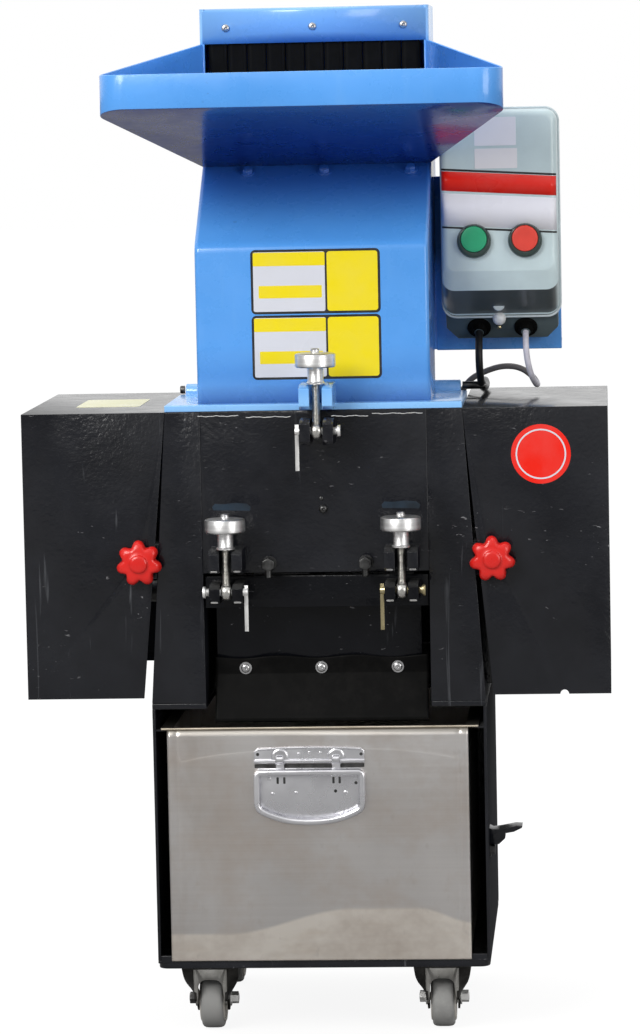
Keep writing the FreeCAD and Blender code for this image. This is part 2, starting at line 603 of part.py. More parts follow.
def make_drawer():
    """Open box of bright sheet with two side rims, and its chest handle."""
    outer = box("drawer_outer", f"-{DRAWER_WIDE} / 2", DRAWER_Y, DRAWER_Z, f"{DRAWER_WIDE}",
                "dims.drawer_deep", "dims.drawer_high")
    rims = box("drawer_rims", f"-{RIM_WIDE} / 2", DRAWER_Y,
               f"{DRAWER_Z} + dims.drawer_high - dims.drawer_sheet", f"{RIM_WIDE}",
               "dims.drawer_deep", "dims.drawer_sheet")
    inner = box("drawer_inner", f"-{DRAWER_WIDE} / 2 + dims.drawer_sheet",
                f"{DRAWER_Y} + dims.drawer_sheet", f"{DRAWER_Z} + dims.drawer_sheet",
                f"{DRAWER_WIDE} - 2 * dims.drawer_sheet",
                "dims.drawer_deep - 2 * dims.drawer_sheet", "dims.drawer_high")
    keep(cut("drawer_tray", fused("drawer_blank", [outer, rims]), inner))
    plate_x = "(-dims.handle_offset - dims.handle_wide / 2)"
    plate_y = f"({DRAWER_Y} - dims.handle_sheet)"
    strip = box("handle_strip", plate_x, plate_y,
                f"{HANDLE_Z} + dims.handle_high - dims.handle_strip", "dims.handle_wide",
                "dims.handle_sheet", "dims.handle_strip")
    middle = "-dims.handle_offset"
    half = "(dims.handle_wide / 2 - dims.bail_radius)"
    shoulder = f"{HANDLE_Z} + 2 * dims.handle_bow"
    back = plate("handle_back", "XZ_Plane",
                 [(f"{middle} - {half}", f"{HANDLE_Z} + dims.handle_high / 2"),
                  (f"{middle} - {half}", shoulder),
                  (f"{middle} - 0.8 * {half}", f"{HANDLE_Z} + dims.handle_bow"),
                  (f"{middle} - 0.4 * {half}", f"{HANDLE_Z} + dims.handle_bow / 3"),
                  (f"{middle} + 0.4 * {half}", f"{HANDLE_Z} + dims.handle_bow / 3"),
                  (f"{middle} + 0.8 * {half}", f"{HANDLE_Z} + dims.handle_bow"),
                  (f"{middle} + {half}", shoulder),
                  (f"{middle} + {half}", f"{HANDLE_Z} + dims.handle_high / 2"),
                  (f"{middle} + 0.8 * {half}", f"{HANDLE_Z} + dims.handle_high - 4"),
                  (f"{middle} - 0.8 * {half}", f"{HANDLE_Z} + dims.handle_high - 4")],
                 plate_y, "dims.handle_sheet")
    pieces = [strip, back]
    for side in ("left", "right"):
        x = f"-dims.handle_offset + {mirror_sign(side)}dims.knuckle_spread / 2"
        pieces.append(rod(f"handle_{side}_knuckle", "X", f"{x} - dims.knuckle_wide / 2", BAIL_Y,
                          BAIL_Z, "dims.knuckle_radius", "dims.knuckle_wide"))
        pieces.append(box(f"handle_{side}_strap", f"{x} - dims.knuckle_wide / 2",
                          f"{BAIL_Y} - 1", f"{BAIL_Z} + dims.knuckle_radius - 3",
                          "dims.knuckle_wide", "dims.knuckle_radius + dims.handle_sheet / 2 + 1",
                          "3 + dims.handle_strip / 4"))
    whole = fused("handle_whole", pieces)
    bore = rod("handle_bore", "X", plate_x, BAIL_Y, BAIL_Z, "dims.bail_radius + dims.pin_gap",
               "dims.handle_wide")
    keep(cut("handle_plate", whole, bore))
    side = sheet.bail_wide / 2
    left = -sheet.handle_offset - side
    right = -sheet.handle_offset + side
    y = (sheet.lip_reach - sheet.cabinet_deep) / 2 + sheet.drawer_setback
    y = y - sheet.handle_sheet - sheet.knuckle_radius
    z = sheet.cabinet_low + sheet.sill_high + sheet.slide_gap + sheet.handle_low
    z = z + sheet.handle_high - sheet.handle_strip - sheet.knuckle_radius / 2
    low = z - sheet.bail_drop
    hoop = arc_rod("bail_hoop", [Vector(left, y, z), Vector(left, y, low), Vector(right, y, low),
                                 Vector(right, y, z)], sheet.bail_radius, sheet.bail_corner)
    top = rod("bail_top", "X", f"-dims.handle_offset - dims.bail_wide / 2", BAIL_Y, BAIL_Z,
              "dims.bail_radius", "dims.bail_wide")
    knobs = []
    for name, x in (("left", left), ("right", right)):
        ball = doc.addObject("Part::Sphere", f"bail_{name}_ball")
        bind(ball, {"Radius": "dims.bail_radius"})
        sign = "-" if name == "left" else "+"
        knobs.append(place(ball, f"-dims.handle_offset {sign} dims.bail_wide / 2", BAIL_Y, BAIL_Z))
    keep(fused("handle_bail", [hoop, top] + knobs))


def make_cheek(side):
    """Thick side wall of the chamber, wider at its foot, recessed on its outer side."""
    sign = mirror_sign(side)
    inner = f"{sign}{CHAMBER_WIDE} / 2"
    top = f"{sign}{BODY_TOP_WIDE} / 2"
    foot = f"{sign}dims.cabinet_wide / 2"
    block = plate(f"{side}_cheek_block", "XZ_Plane",
                  [(inner, CABINET_TOP), (foot, CABINET_TOP), (top, BODY_TOP), (inner, BODY_TOP)],
                  FRONT, "dims.body_deep")
    recess_x = f"{CHAMBER_WIDE} / 2 + dims.cheek_wall"
    if side == "left":
        recess_x = f"-dims.cabinet_wide / 2 - {CHAMBER_WIDE} / 2 - dims.cheek_wall"
    recess = box(f"{side}_cheek_recess", recess_x, f"{FRONT} + dims.cheek_edge",
                 f"{CABINET_TOP} + dims.cheek_edge", "dims.cabinet_wide / 2",
                 "dims.body_deep - 2 * dims.cheek_edge", "dims.body_high - 2 * dims.cheek_edge")
    boss_x = f"{CHAMBER_WIDE} / 2 + dims.cheek_wall / 2"
    if side == "left":
        boss_x = f"-{BODY_TOP_WIDE} / 2"
    boss = rod(f"{side}_cheek_boss", "X", boss_x, ROTOR_Y, ROTOR_Z, "dims.shaft_radius * 2.4",
               f"{BODY_TOP_WIDE} / 2 - {CHAMBER_WIDE} / 2 - dims.cheek_wall / 2")
    tab_x = f"{CHAMBER_WIDE} / 2 + dims.cheek_wall / 2"
    tab_wide = f"{KNOB_SPREAD} + dims.tab_wide / 2 - {CHAMBER_WIDE} / 2 - dims.cheek_wall / 2"
    if side == "left":
        tab_x = f"-{KNOB_SPREAD} - dims.tab_wide / 2"
    tab = box(f"{side}_cheek_tab", tab_x, f"{FRONT} + dims.guard_sheet",
              f"{KNOB_Z} - dims.tab_wide / 2", tab_wide, "dims.tab_thick", "dims.tab_wide")
    whole = fused(f"{side}_cheek_whole",
                  [cut(f"{side}_cheek_carved", block, recess), boss, tab])
    bore_x = "0 mm" if side == "right" else "-dims.cabinet_wide / 2"
    bore = rod(f"{side}_cheek_bore", "X", bore_x, ROTOR_Y, ROTOR_Z,
               "dims.shaft_radius + dims.shaft_gap", "dims.cabinet_wide / 2")
    stud = rod(f"{side}_cheek_stud_hole", "Y", f"{sign}{KNOB_SPREAD}", FRONT, KNOB_Z,
               "dims.knob_stem + dims.pin_gap", "2 * dims.tab_thick")
    keep(cut(f"{side}_cheek", whole, fused(f"{side}_cheek_bores", [bore, stud])))


def lug(label, x, back, front_z_low, front_z_high):
    """One lug of a clamp, standing out from the body, with its front edges taken off."""
    front = f"{BOLT_Y} - dims.lug_overhang"
    return plate(label, "YZ_Plane",
                 [(back, front_z_low), (f"{front} + dims.lug_chamfer", front_z_low),
                  (front, f"{front_z_low} + dims.lug_chamfer"),
                  (front, f"{front_z_high} - dims.lug_chamfer"),
                  (f"{front} + dims.lug_overhang", front_z_high), (back, front_z_high)],
                 x, "dims.lug_wide")


def lug_pair(label, middle, back, z_low, z_high):
    """Two lugs with the bolt's slot between them."""
    return [
        lug(f"{label}_near", f"{middle} - dims.lug_slot / 2 - dims.lug_wide", back, z_low, z_high),
        lug(f"{label}_far", f"{middle} + dims.lug_slot / 2", back, z_low, z_high),
    ]


def pin_bore(label, middle, z):
    """Bore for a pivot pin through a pair of lugs."""
    return rod(label, "X", f"{middle} - dims.lug_slot / 2 - 2 * dims.lug_wide", BOLT_Y, z,
               "dims.pin_radius + dims.pin_gap", "dims.lug_slot + 4 * dims.lug_wide")


def make_front_plate():
    """Front plate with the seats of the side bolts and the top bolt's pivot lugs."""
    panel = box("front_plate_panel", f"-{CHAMBER_WIDE} / 2", FRONT,
                f"{BODY_TOP} - dims.front_plate_high", f"{CHAMBER_WIDE}",
                "dims.front_plate_thick", "dims.front_plate_high")
    back = f"{FRONT} + dims.front_plate_thick / 2"
    pieces = [panel]
    for side in ("left", "right"):
        middle = f"{mirror_sign(side)}{CLAMP_SPREAD}"
        pieces += lug_pair(f"{side}_seat_lug", middle, back, f"{SIDE_SEAT_Z} - dims.seat_high",
                           SIDE_SEAT_Z)
    pieces += lug_pair("top_pivot_lug", "dims.top_clamp_offset", back,
                       f"{TOP_PIN_Z} - 0.7 * dims.pivot_lug_high",
                       f"{TOP_PIN_Z} + 0.6 * dims.pivot_lug_high")
    keep(cut("front_plate", fused("front_plate_whole", pieces),
             pin_bore("top_pivot_bore", "dims.top_clamp_offset", TOP_PIN_Z)))


def make_rear_plate():
    """Rear wall of the chamber."""
    keep(box("rear_plate", f"-{CHAMBER_WIDE} / 2",
             f"{FRONT} + dims.body_deep - dims.rear_plate_thick",
             f"{BODY_TOP} - dims.rear_plate_high", f"{CHAMBER_WIDE}", "dims.rear_plate_thick",
             "dims.rear_plate_high"))


def lower_arc(label, x, wide, inner, thick):
    """The lower half of a ring about the rotor's axis."""
    outer = rod(f"{label}_outer", "X", x, ROTOR_Y, ROTOR_Z, f"{inner} + {thick}", wide)
    hollow = rod(f"{label}_hollow", "X", x, ROTOR_Y, ROTOR_Z, inner, wide)
    ring = cut(f"{label}_ring", outer, hollow)
    reach = f"({inner} + {thick} + 5)"
    below = box(f"{label}_below", x, f"{ROTOR_Y} - {reach}", f"{ROTOR_Z} - {reach}", wide,
                f"2 * {reach}", f"{CRADLE_TOP} - {ROTOR_Z} + {reach}")
    return common(label, ring, below)


def make_screen_cradle():
    """Cradle under the rotor: ribs, front and rear bars, skirt and the lower lugs."""
    wide = f"({CHAMBER_WIDE} - 2 * dims.cradle_gap)"
    bar_z = f"({CABINET_TOP} + dims.cradle_bar_low)"
    bar = box("cradle_bar", f"-{wide} / 2", f"{FRONT} + dims.cradle_bar_setback", bar_z, wide,
              "dims.cradle_bar_deep", "dims.cradle_bar_high")
    rear_bar = box("cradle_rear_bar", f"-{wide} / 2",
                   f"{ROTOR_Y} + {CRADLE_RADIUS} - 3", bar_z, wide,
                   f"{FRONT} + dims.body_deep - dims.rear_plate_thick - dims.slide_gap"
                   f" - {ROTOR_Y} - {CRADLE_RADIUS} + 3", "dims.cradle_bar_high")
    skirt = box("cradle_skirt", f"-{SKIRT_WIDE} / 2",
                f"{FRONT} + dims.cradle_bar_setback + dims.cradle_bar_deep - dims.skirt_thick",
                f"{CABINET_TOP} + dims.skirt_low", f"{SKIRT_WIDE}", "dims.skirt_thick",
                "dims.cradle_bar_low - dims.skirt_low + dims.cradle_bar_high / 2")
    pieces = [bar, rear_bar, skirt]
    spread = f"({wide} - dims.cradle_rib_wide) / 2"
    for name, x in (("left", f"-{spread}"), ("middle", "0"), ("right", spread)):
        pieces.append(lower_arc(f"cradle_{name}_rib", f"{x} - dims.cradle_rib_wide / 2",
                                "dims.cradle_rib_wide", CRADLE_RADIUS, "dims.cradle_thick"))
    back = f"{FRONT} + dims.cradle_bar_setback + dims.cradle_bar_deep / 2"
    low = f"{SIDE_PIN_Z} - 0.6 * dims.pivot_lug_high"
    high = f"{SIDE_PIN_Z} + 0.4 * dims.pivot_lug_high"
    bores = []
    for side in ("left", "right"):
        middle = f"{mirror_sign(side)}{CLAMP_SPREAD}"
        pieces += lug_pair(f"{side}_pivot_lug", middle, back, low, high)
        bores.append(pin_bore(f"{side}_pivot_bore", middle, SIDE_PIN_Z))
    room = rod("cradle_room", "X", f"-{wide} / 2 - 1", ROTOR_Y, ROTOR_Z, CRADLE_RADIUS,
               f"{wide} + 2")
    keep(cut("screen_cradle", fused("cradle_whole", pieces), fused("cradle_bores", bores + [room])))
    keep(lower_arc("screen", f"-{wide} / 2", wide, SCREEN_RADIUS, "dims.screen_sheet"))


def make_apron():
    """Rubber apron screwed to the skirt, leaning out over the drawer."""
    face = (f"({FRONT} + dims.cradle_bar_setback + dims.cradle_bar_deep - dims.skirt_thick)")
    top = f"{CABINET_TOP} + dims.apron_top"
    bend = f"{CABINET_TOP} + dims.apron_bend"
    low = f"{CABINET_TOP} - dims.apron_hang"
    keep(plate("apron", "YZ_Plane",
               [(f"{face} - dims.apron_thick", top), (f"{face} - dims.apron_thick", bend),
                (f"{face} - dims.apron_thick - dims.apron_reach", low),
                (f"{face} - dims.apron_reach", low), (face, bend), (face, top)],
               f"-{APRON_WIDE} / 2", f"{APRON_WIDE}"))


def make_swing_bolt(name, middle, pin_z, seat_z, cotter_side):
    """Eye bolt on its pivot pin, with a turned thumb nut that sits on the seat."""
    eye = rod(f"{name}_bolt_eye", "X", f"{middle} - dims.eye_wide / 2", BOLT_Y, pin_z,
              "dims.eye_radius", "dims.eye_wide")
    top = f"{seat_z} + dims.nut_gap + dims.nut_collar_high + dims.nut_disc_high / 2"
    shank = rod(f"{name}_bolt_shank", "Z", middle, BOLT_Y, pin_z, "dims.bolt_radius",
                f"{top} - {pin_z}")
    bore = rod(f"{name}_bolt_bore", "X", f"{middle} - dims.eye_wide", BOLT_Y, pin_z,
               "dims.pin_radius + dims.pin_gap", "2 * dims.eye_wide")
    keep(cut(f"{name}_bolt", fused(f"{name}_bolt_whole", [eye, shank]), bore))
    collar_top = "dims.nut_collar_high"
    disc_top = "(dims.nut_collar_high + dims.nut_disc_high)"
    keep(turned(
        f"{name}_nut",
        [("dims.bolt_radius", "0 mm"), ("dims.nut_collar_radius + 1.5", "0 mm"),
         ("dims.nut_collar_radius + 1.5", "2.5 mm"), ("dims.nut_collar_radius - 1.5", "4 mm"),
         ("dims.nut_collar_radius", "6 mm"), ("dims.nut_collar_radius", collar_top),
         ("dims.nut_disc_radius - 1.5", collar_top), ("dims.nut_disc_radius", f"{collar_top} + 1.5"),
         ("dims.nut_disc_radius", f"{disc_top} - 2"), ("dims.nut_disc_radius - 2", disc_top),
         ("5 mm", f"{disc_top} + 2"), ("0 mm", f"{disc_top} + 5"),
         ("0 mm", f"{collar_top} + dims.nut_disc_high / 2"),
         ("dims.bolt_radius", f"{collar_top} + dims.nut_disc_high / 2")],
        middle, BOLT_Y, f"{seat_z} + dims.nut_gap"))
    half = "(dims.lug_slot / 2 + dims.lug_wide + 5)"
    pin = rod(f"{name}_pin_bar", "X", f"{middle} - {half}", BOLT_Y, pin_z, "dims.pin_radius",
              f"2 * {half}")
    head_x = f"{middle} - {half} - 2" if cotter_side > 0 else f"{middle} + {half} - 1"
    head = rod(f"{name}_pin_head", "X", head_x, BOLT_Y, pin_z, "dims.pin_radius + 2", "3 mm")
    leg_x = f"{middle} + {half} - 4" if cotter_side > 0 else (
        f"{middle} - {half} + 4 - dims.cotter_wide")
    leg = box(f"{name}_cotter", leg_x, f"{BOLT_Y} - dims.cotter_thick / 2",
              f"{pin_z} - dims.cotter_long", "dims.cotter_wide", "dims.cotter_thick",
              "dims.cotter_long + dims.pin_radius + 3")
    keep(fused(f"{name}_pin", [pin, head, leg]))


def make_hopper():
    """Flange, bent chute, feed box, mouth band and curtain."""
    half = f"{BODY_TOP_WIDE} / 2"
    back = f"{FRONT} + dims.body_deep"
    flange = plate("hopper_flange_plate", "XY_Plane",
                   [(f"-{half}", FRONT), (half, FRONT), (half, back), (f"-{half}", back)],
                   BODY_TOP, "dims.flange_thick")
    throat = box("hopper_flange_throat", f"-{HOPPER_WIDE} / 2 + dims.hopper_sheet",
                 f"{CHUTE_Y} + dims.hopper_sheet", f"{BODY_TOP} - 1",
                 f"{HOPPER_WIDE} - 2 * dims.hopper_sheet",
                 "dims.chute_deep - 2 * dims.hopper_sheet", "dims.flange_thick + 2")
    pieces = [cut("hopper_flange_ring", flange, throat)]
    pieces += lug_pair("fork_lug", "dims.top_clamp_offset", f"{CHUTE_Y}",
                       f"{BODY_TOP} + dims.flange_thick / 2", TOP_SEAT_Z)
    for side in ("left", "right"):
        x = f"{mirror_sign(side)}{BODY_TOP_WIDE} / 2 * 0.84"
        pieces.append(rod(f"hopper_{side}_knuckle", "X", f"{x} - 18", f"{back} + 4",
                          f"{BODY_TOP} + 9.3", "9 mm", "36 mm"))
    keep(fused("hopper_flange", pieces))
    wall = "dims.hopper_sheet"
    side_outline = [
        (CHUTE_Y, FLANGE_TOP), (CHUTE_Y, CREASE), (THROAT_Y, JOINT_LINE), (THROAT_Y, HOPPER_TOP),
        (BOX_BACK_Y, HOPPER_TOP), (BOX_BACK_Y, f"{FLANGE_TOP} + dims.back_crease_high"),
        (CHUTE_BACK_Y, f"{FLANGE_TOP} + dims.back_crease_low"), (CHUTE_BACK_Y, FLANGE_TOP)]
    keep(plate("hopper_left", "YZ_Plane", side_outline, f"-{HOPPER_WIDE} / 2", wall))
    keep(plate("hopper_right", "YZ_Plane", side_outline, f"{HOPPER_WIDE} / 2 - dims.hopper_sheet",
               wall))
    inner = f"{HOPPER_WIDE} - 2 * dims.hopper_sheet"
    inner_x = f"-{HOPPER_WIDE} / 2 + dims.hopper_sheet"
    keep(plate("hopper_front", "YZ_Plane",
               [(CHUTE_Y, FLANGE_TOP), (CHUTE_Y, CREASE), (THROAT_Y, JOINT_LINE),
                (THROAT_Y, f"{JOINT_LINE} - 1.3 * {wall}"),
                (f"{CHUTE_Y} + {wall}", f"{CREASE} - 0.6 * {wall}"),
                (f"{CHUTE_Y} + {wall}", FLANGE_TOP)],
               inner_x, inner))
    upper = f"({FLANGE_TOP} + dims.back_crease_high)"
    lower = f"({FLANGE_TOP} + dims.back_crease_low)"
    keep(plate("hopper_back", "YZ_Plane",
               [(BOX_BACK_Y, HOPPER_TOP), (BOX_BACK_Y, upper), (CHUTE_BACK_Y, lower),
                (CHUTE_BACK_Y, FLANGE_TOP), (f"{CHUTE_BACK_Y} - {wall}", FLANGE_TOP),
                (f"{CHUTE_BACK_Y} - {wall}", f"{lower} + 0.4 * {wall}"),
                (f"{BOX_BACK_Y} - {wall}", f"{upper} + 0.4 * {wall}"),
                (f"{BOX_BACK_Y} - {wall}", HOPPER_TOP)],
               inner_x, inner))
    keep(box("hopper_lid", inner_x, f"{THROAT_Y} + {wall}", f"{HOPPER_TOP} - {wall}", inner,
             f"dims.box_deep - 2 * {wall}", wall))
    keep(box("mouth_band", inner_x, THROAT_Y, f"{HOPPER_TOP} - dims.band_high", inner, wall,
             "dims.band_high"))
    keep(box("curtain", f"{inner_x} + dims.curtain_gap", f"{THROAT_Y} + {wall} + dims.slide_gap",
             f"{JOINT_LINE} + {wall} + dims.curtain_gap", f"{inner} - 2 * dims.curtain_gap",
             "dims.curtain_thick",
             f"{HOPPER_TOP} - dims.band_high + 8 - {JOINT_LINE} - {wall} - dims.curtain_gap"))


def tray_block(label, inset):
    """The tray's outer form: a flared plan with round front corners, cut to its slopes."""
    body = doc.addObject("PartDesign::Body", label)
    sketch = sketch_on(body, "XY_Plane", f"{label}_plan")
    lip_y = f"{FRONT} - dims.lip_reach"
    draw_outline(sketch, [
        (f"-{HOPPER_WIDE} / 2 + {inset}", THROAT_Y),
        (f"-{LIP_WIDE} / 2 + {inset}", f"{lip_y} + {inset}"),
        (f"{LIP_WIDE} / 2 - {inset}", f"{lip_y} + {inset}"),
        (f"{HOPPER_WIDE} / 2 - {inset}", THROAT_Y)])
    pad = body.newObject("PartDesign::Pad", f"{label}_height")
    pad.Profile = sketch
    bind(pad, {"Length": "dims.tray_side_high"})
    bind(body, {"Placement.Base.z": JOINT_LINE})
    doc.recompute()
    corners = []
    lip = sketch.Shape.BoundBox.YMin
    for index, edge in enumerate(pad.Shape.Edges, start=1):
        first, last = edge.firstVertex().Point, edge.lastVertex().Point
        upright = abs(first.x - last.x) < 0.01 and abs(first.y - last.y) < 0.01
        if upright and abs(first.y - lip) < 0.01:
            corners.append(f"Edge{index}")
    rounding = body.newObject("PartDesign::Fillet", f"{label}_corners")
    rounding.Base = (pad, corners)
    bind(rounding, {"Radius": f"dims.tray_corner - {inset}"})
    body.Tip = rounding
    return body


def make_feed_tray():
    """Flared tray in front of the feed box: sloping floor, sides and an upright lip."""
    lip_y = f"({FRONT} - dims.lip_reach)"
    wall = "dims.hopper_sheet"
    outer = tray_block("feed_tray_outer", "0")
    inner = tray_block("feed_tray_inner", wall)
    slope = f"(dims.tray_rise / (dims.lip_reach + dims.throat_setback))"
    under = plate("feed_tray_under", "YZ_Plane",
                  [(f"{lip_y} - 10", f"{JOINT_LINE} - 10"), (f"{THROAT_Y} + 10", f"{JOINT_LINE} - 10"),
                   (f"{THROAT_Y} + 10", f"{JOINT_LINE} - 10 * {slope}"),
                   (f"{lip_y} - 10", f"{JOINT_LINE} + dims.tray_rise + 10 * {slope}")],
                  f"-{LIP_WIDE} / 2 - 10", f"{LIP_WIDE} + 20")
    floor_line = plate("feed_tray_floor_line", "YZ_Plane",
                       [(f"{lip_y} - 10", f"{JOINT_LINE} - 10"),
                        (f"{THROAT_Y} + 10", f"{JOINT_LINE} - 10"),
                        (f"{THROAT_Y} + 10", f"{JOINT_LINE} - 10 * {slope} + {wall}"),
                        (f"{lip_y} - 10",
                         f"{JOINT_LINE} + dims.tray_rise + 10 * {slope} + {wall}")],
                       f"-{LIP_WIDE} / 2 - 10", f"{LIP_WIDE} + 20")
    lip_top = f"({JOINT_LINE} + dims.tray_rise + dims.lip_high)"
    side_top = f"({JOINT_LINE} + dims.tray_side_high)"
    over = plate("feed_tray_over", "YZ_Plane",
                 [(f"{lip_y} - 10", f"{side_top} + 10"), (f"{lip_y} - 10", lip_top),
                  (f"{lip_y} + dims.tray_corner", lip_top), (f"{THROAT_Y}", side_top),
                  (f"{THROAT_Y}", f"{side_top} + 10")],
                 f"-{LIP_WIDE} / 2 - 10", f"{LIP_WIDE} + 20")
    hollow = cut("feed_tray_hollow", inner, floor_line)
    shell = cut("feed_tray_shell", cut("feed_tray_lifted", outer, under), hollow)
    keep(cut("feed_tray", shell, over))


def make_guard(side):
    """Sheet cover over the drive: closed in front, behind, above and outside."""
    sign = mirror_sign(side)
    low = f"{CABINET_TOP} + dims.guard_low"
    foot = f"{sign}(dims.cabinet_wide / 2 + dims.guard_wedge)"
    top = f"{sign}{BODY_TOP_WIDE} / 2"
    outer = f"{sign}{GUARD_REACH}"
    cover = plate(f"{side}_guard_cover", "XZ_Plane",
                  [(foot, low), (outer, low), (outer, BODY_TOP), (top, BODY_TOP)],
                  FRONT, GUARD_DEEP)
    inset = f"{sign}({GUARD_REACH} - dims.guard_sheet)"
    hollow = plate(f"{side}_guard_hollow", "XZ_Plane",
                   [(f"{sign}40", f"{low} - 10"), (inset, f"{low} - 10"),
                    (inset, f"{BODY_TOP} - dims.guard_sheet"),
                    (f"{sign}40", f"{BODY_TOP} - dims.guard_sheet")],
                   f"{FRONT} + dims.guard_sheet", f"{GUARD_DEEP} - 2 * dims.guard_sheet")
    tools = [hollow, rod(f"{side}_guard_stud_hole", "Y", f"{sign}{KNOB_SPREAD}",
                         f"{FRONT} - 5", KNOB_Z, "dims.knob_stem + dims.pin_gap", "20 mm")]
    if side == "right":
        tools.append(rod("right_guard_notch", "Y",
                         f"{foot} + dims.notch_offset", f"{FRONT} - 5", low,
                         "dims.notch_wide / 2", "20 mm"))
    keep(cut(f"{side}_guard", cover, fused(f"{side}_guard_spaces", tools)))


def make_star_knob(side):
    """Seven-lobed knob with its stud, screwed through the guard into the cheek's tab."""
    body = doc.addObject("PartDesign::Body", f"{side}_knob_head")
    sketch = sketch_on(body, "XY_Plane", f"{side}_knob_circle")
    draw_circle(sketch, "0 mm", "0 mm", "dims.knob_radius")
    pad = body.newObject("PartDesign::Pad", f"{side}_knob_disc")
    pad.Profile = sketch
    bind(pad, {"Length": "dims.knob_thick"})
    scallop = sketch_on(body, "XY_Plane", f"{side}_knob_scallop")
    draw_circle(scallop, "0 mm", "dims.knob_radius * 1.12", "dims.knob_radius * 0.3")
    doc.recompute()
    pocket = body.newObject("PartDesign::Pocket", f"{side}_knob_cut")
    pocket.Profile = scallop
    pocket.Type = 1
    pocket.Midplane = True
    pattern = body.newObject("PartDesign::PolarPattern", f"{side}_knob_lobes")
    pattern.Originals = [pocket]
    pattern.Axis = (scallop, ["N_Axis"])
    pattern.Angle = 360
    pattern.Occurrences = 7
    body.Tip = pattern
    x = f"{mirror_sign(side)}{KNOB_SPREAD}"
    place(body, x, f"{FRONT} - dims.knob_thick - 6", KNOB_Z, "Y")
    hub = turned(f"{side}_knob_hub",
                 [("0 mm", "-2 mm"), ("dims.knob_radius * 0.45", "-2 mm"),
                  ("dims.knob_radius * 0.6", "1 mm"), ("dims.knob_radius * 0.5", "dims.knob_thick + 6"),
                  ("dims.knob_stem", "dims.knob_thick + 6"),
                  ("dims.knob_stem", "dims.knob_thick + 6 + dims.guard_sheet + dims.tab_thick"),
                  ("0 mm", "dims.knob_thick + 6 + dims.guard_sheet + dims.tab_thick")],
                 x, f"{FRONT} - dims.knob_thick - 6", KNOB_Z, "Y")
    keep(fused(f"{side}_knob", [body, hub]))


def pulley_profile(radius, wide, bore):
    """Half section of a pulley with a rim that stands over a thinner web."""
    half = f"({wide} / 2)"
    return [(bore, f"-{half}"), (f"{bore} + 10", f"-{half}"), (f"{bore} + 10", "-5 mm"),
            (f"{radius} - 9", "-5 mm"), (f"{radius} - 9", f"-{half}"), (radius, f"-{half}"),
            (radius, half), (f"{radius} - 9", half), (f"{radius} - 9", "5 mm"),
            (f"{bore} + 10", "5 mm"), (f"{bore} + 10", half), (bore, half)]


def make_rotor():
    """Rotor with three knives on its shaft, and the wheels at the shaft's ends."""
    length = f"({CHAMBER_WIDE} - 2 * dims.rotor_end_gap)"
    body = doc.addObject("PartDesign::Body", "rotor_body")
    core = sketch_on(body, "YZ_Plane", "rotor_core_circle")
    draw_circle(core, "0 mm", "0 mm", "dims.rotor_core")
    pad = body.newObject("PartDesign::Pad", "rotor_core_length")
    pad.Profile = core
    bind(pad, {"Length": length})
    blade = sketch_on(body, "YZ_Plane", "rotor_knife_section")
    inner = "dims.rotor_core * 0.8"
    draw_outline(blade, [(f"-dims.knife_thick / 2", inner), (f"dims.knife_thick / 2", inner),
                         ("dims.knife_thick / 2", "dims.rotor_radius"),
                         ("-dims.knife_thick / 2", "dims.rotor_radius - 5")])
    knife = body.newObject("PartDesign::Pad", "rotor_knife")
    knife.Profile = blade
    bind(knife, {"Length": length})
    pattern = body.newObject("PartDesign::PolarPattern", "rotor_knives")
    pattern.Originals = [knife]
    pattern.Axis = (blade, ["N_Axis"])
    pattern.Angle = 360
    pattern.Occurrences = 3
    body.Tip = pattern
    bind(body, {"Placement.Base.x": f"-{length} / 2", "Placement.Base.y": ROTOR_Y,
                "Placement.Base.z": ROTOR_Z})
    shaft = rod("rotor_shaft", "X", f"-{PULLEY_PLACE} - dims.pulley_wide / 2 - 6", ROTOR_Y,
                ROTOR_Z, "dims.shaft_radius",
                f"{PULLEY_PLACE} + dims.pulley_wide / 2 + {FLYWHEEL_PLACE}"
                " + dims.flywheel_wide / 2 + 12")
    keep(fused("rotor", [body, shaft]))
    keep(turned("rotor_pulley", pulley_profile("dims.rotor_pulley", "dims.pulley_wide",
                                               "dims.shaft_radius"),
                f"-{PULLEY_PLACE}", ROTOR_Y, ROTOR_Z, "X"))
    keep(turned("flywheel", pulley_profile("dims.flywheel_radius", "dims.flywheel_wide",
                                           "dims.shaft_radius"),
                f"{FLYWHEEL_PLACE}", ROTOR_Y, ROTOR_Z, "X"))


def loop_face(first, first_radius, second, second_radius):
    """The area inside a belt line round two circles in the YZ plane."""
    apart = second - first
    lean = math.acos((first_radius - second_radius) / apart.Length)
    heading = math.atan2(apart.z, apart.y)
    points = []
    for side in (1, -1):
        angle = heading + side * lean
        out = Vector(0, math.cos(angle), math.sin(angle))
        points.append((first + out * first_radius, second + out * second_radius))
    away = Vector(0, math.cos(heading), math.sin(heading))
    edges = [
        Part.LineSegment(points[0][0], points[0][1]).toShape(),
        Part.Arc(points[0][1], second + away * second_radius, points[1][1]).toShape(),
        Part.LineSegment(points[1][1], points[1][0]).toShape(),
        Part.Arc(points[1][0], first - away * first_radius, points[0][0]).toShape(),
    ]
    return Part.Face(Part.Wire(edges))


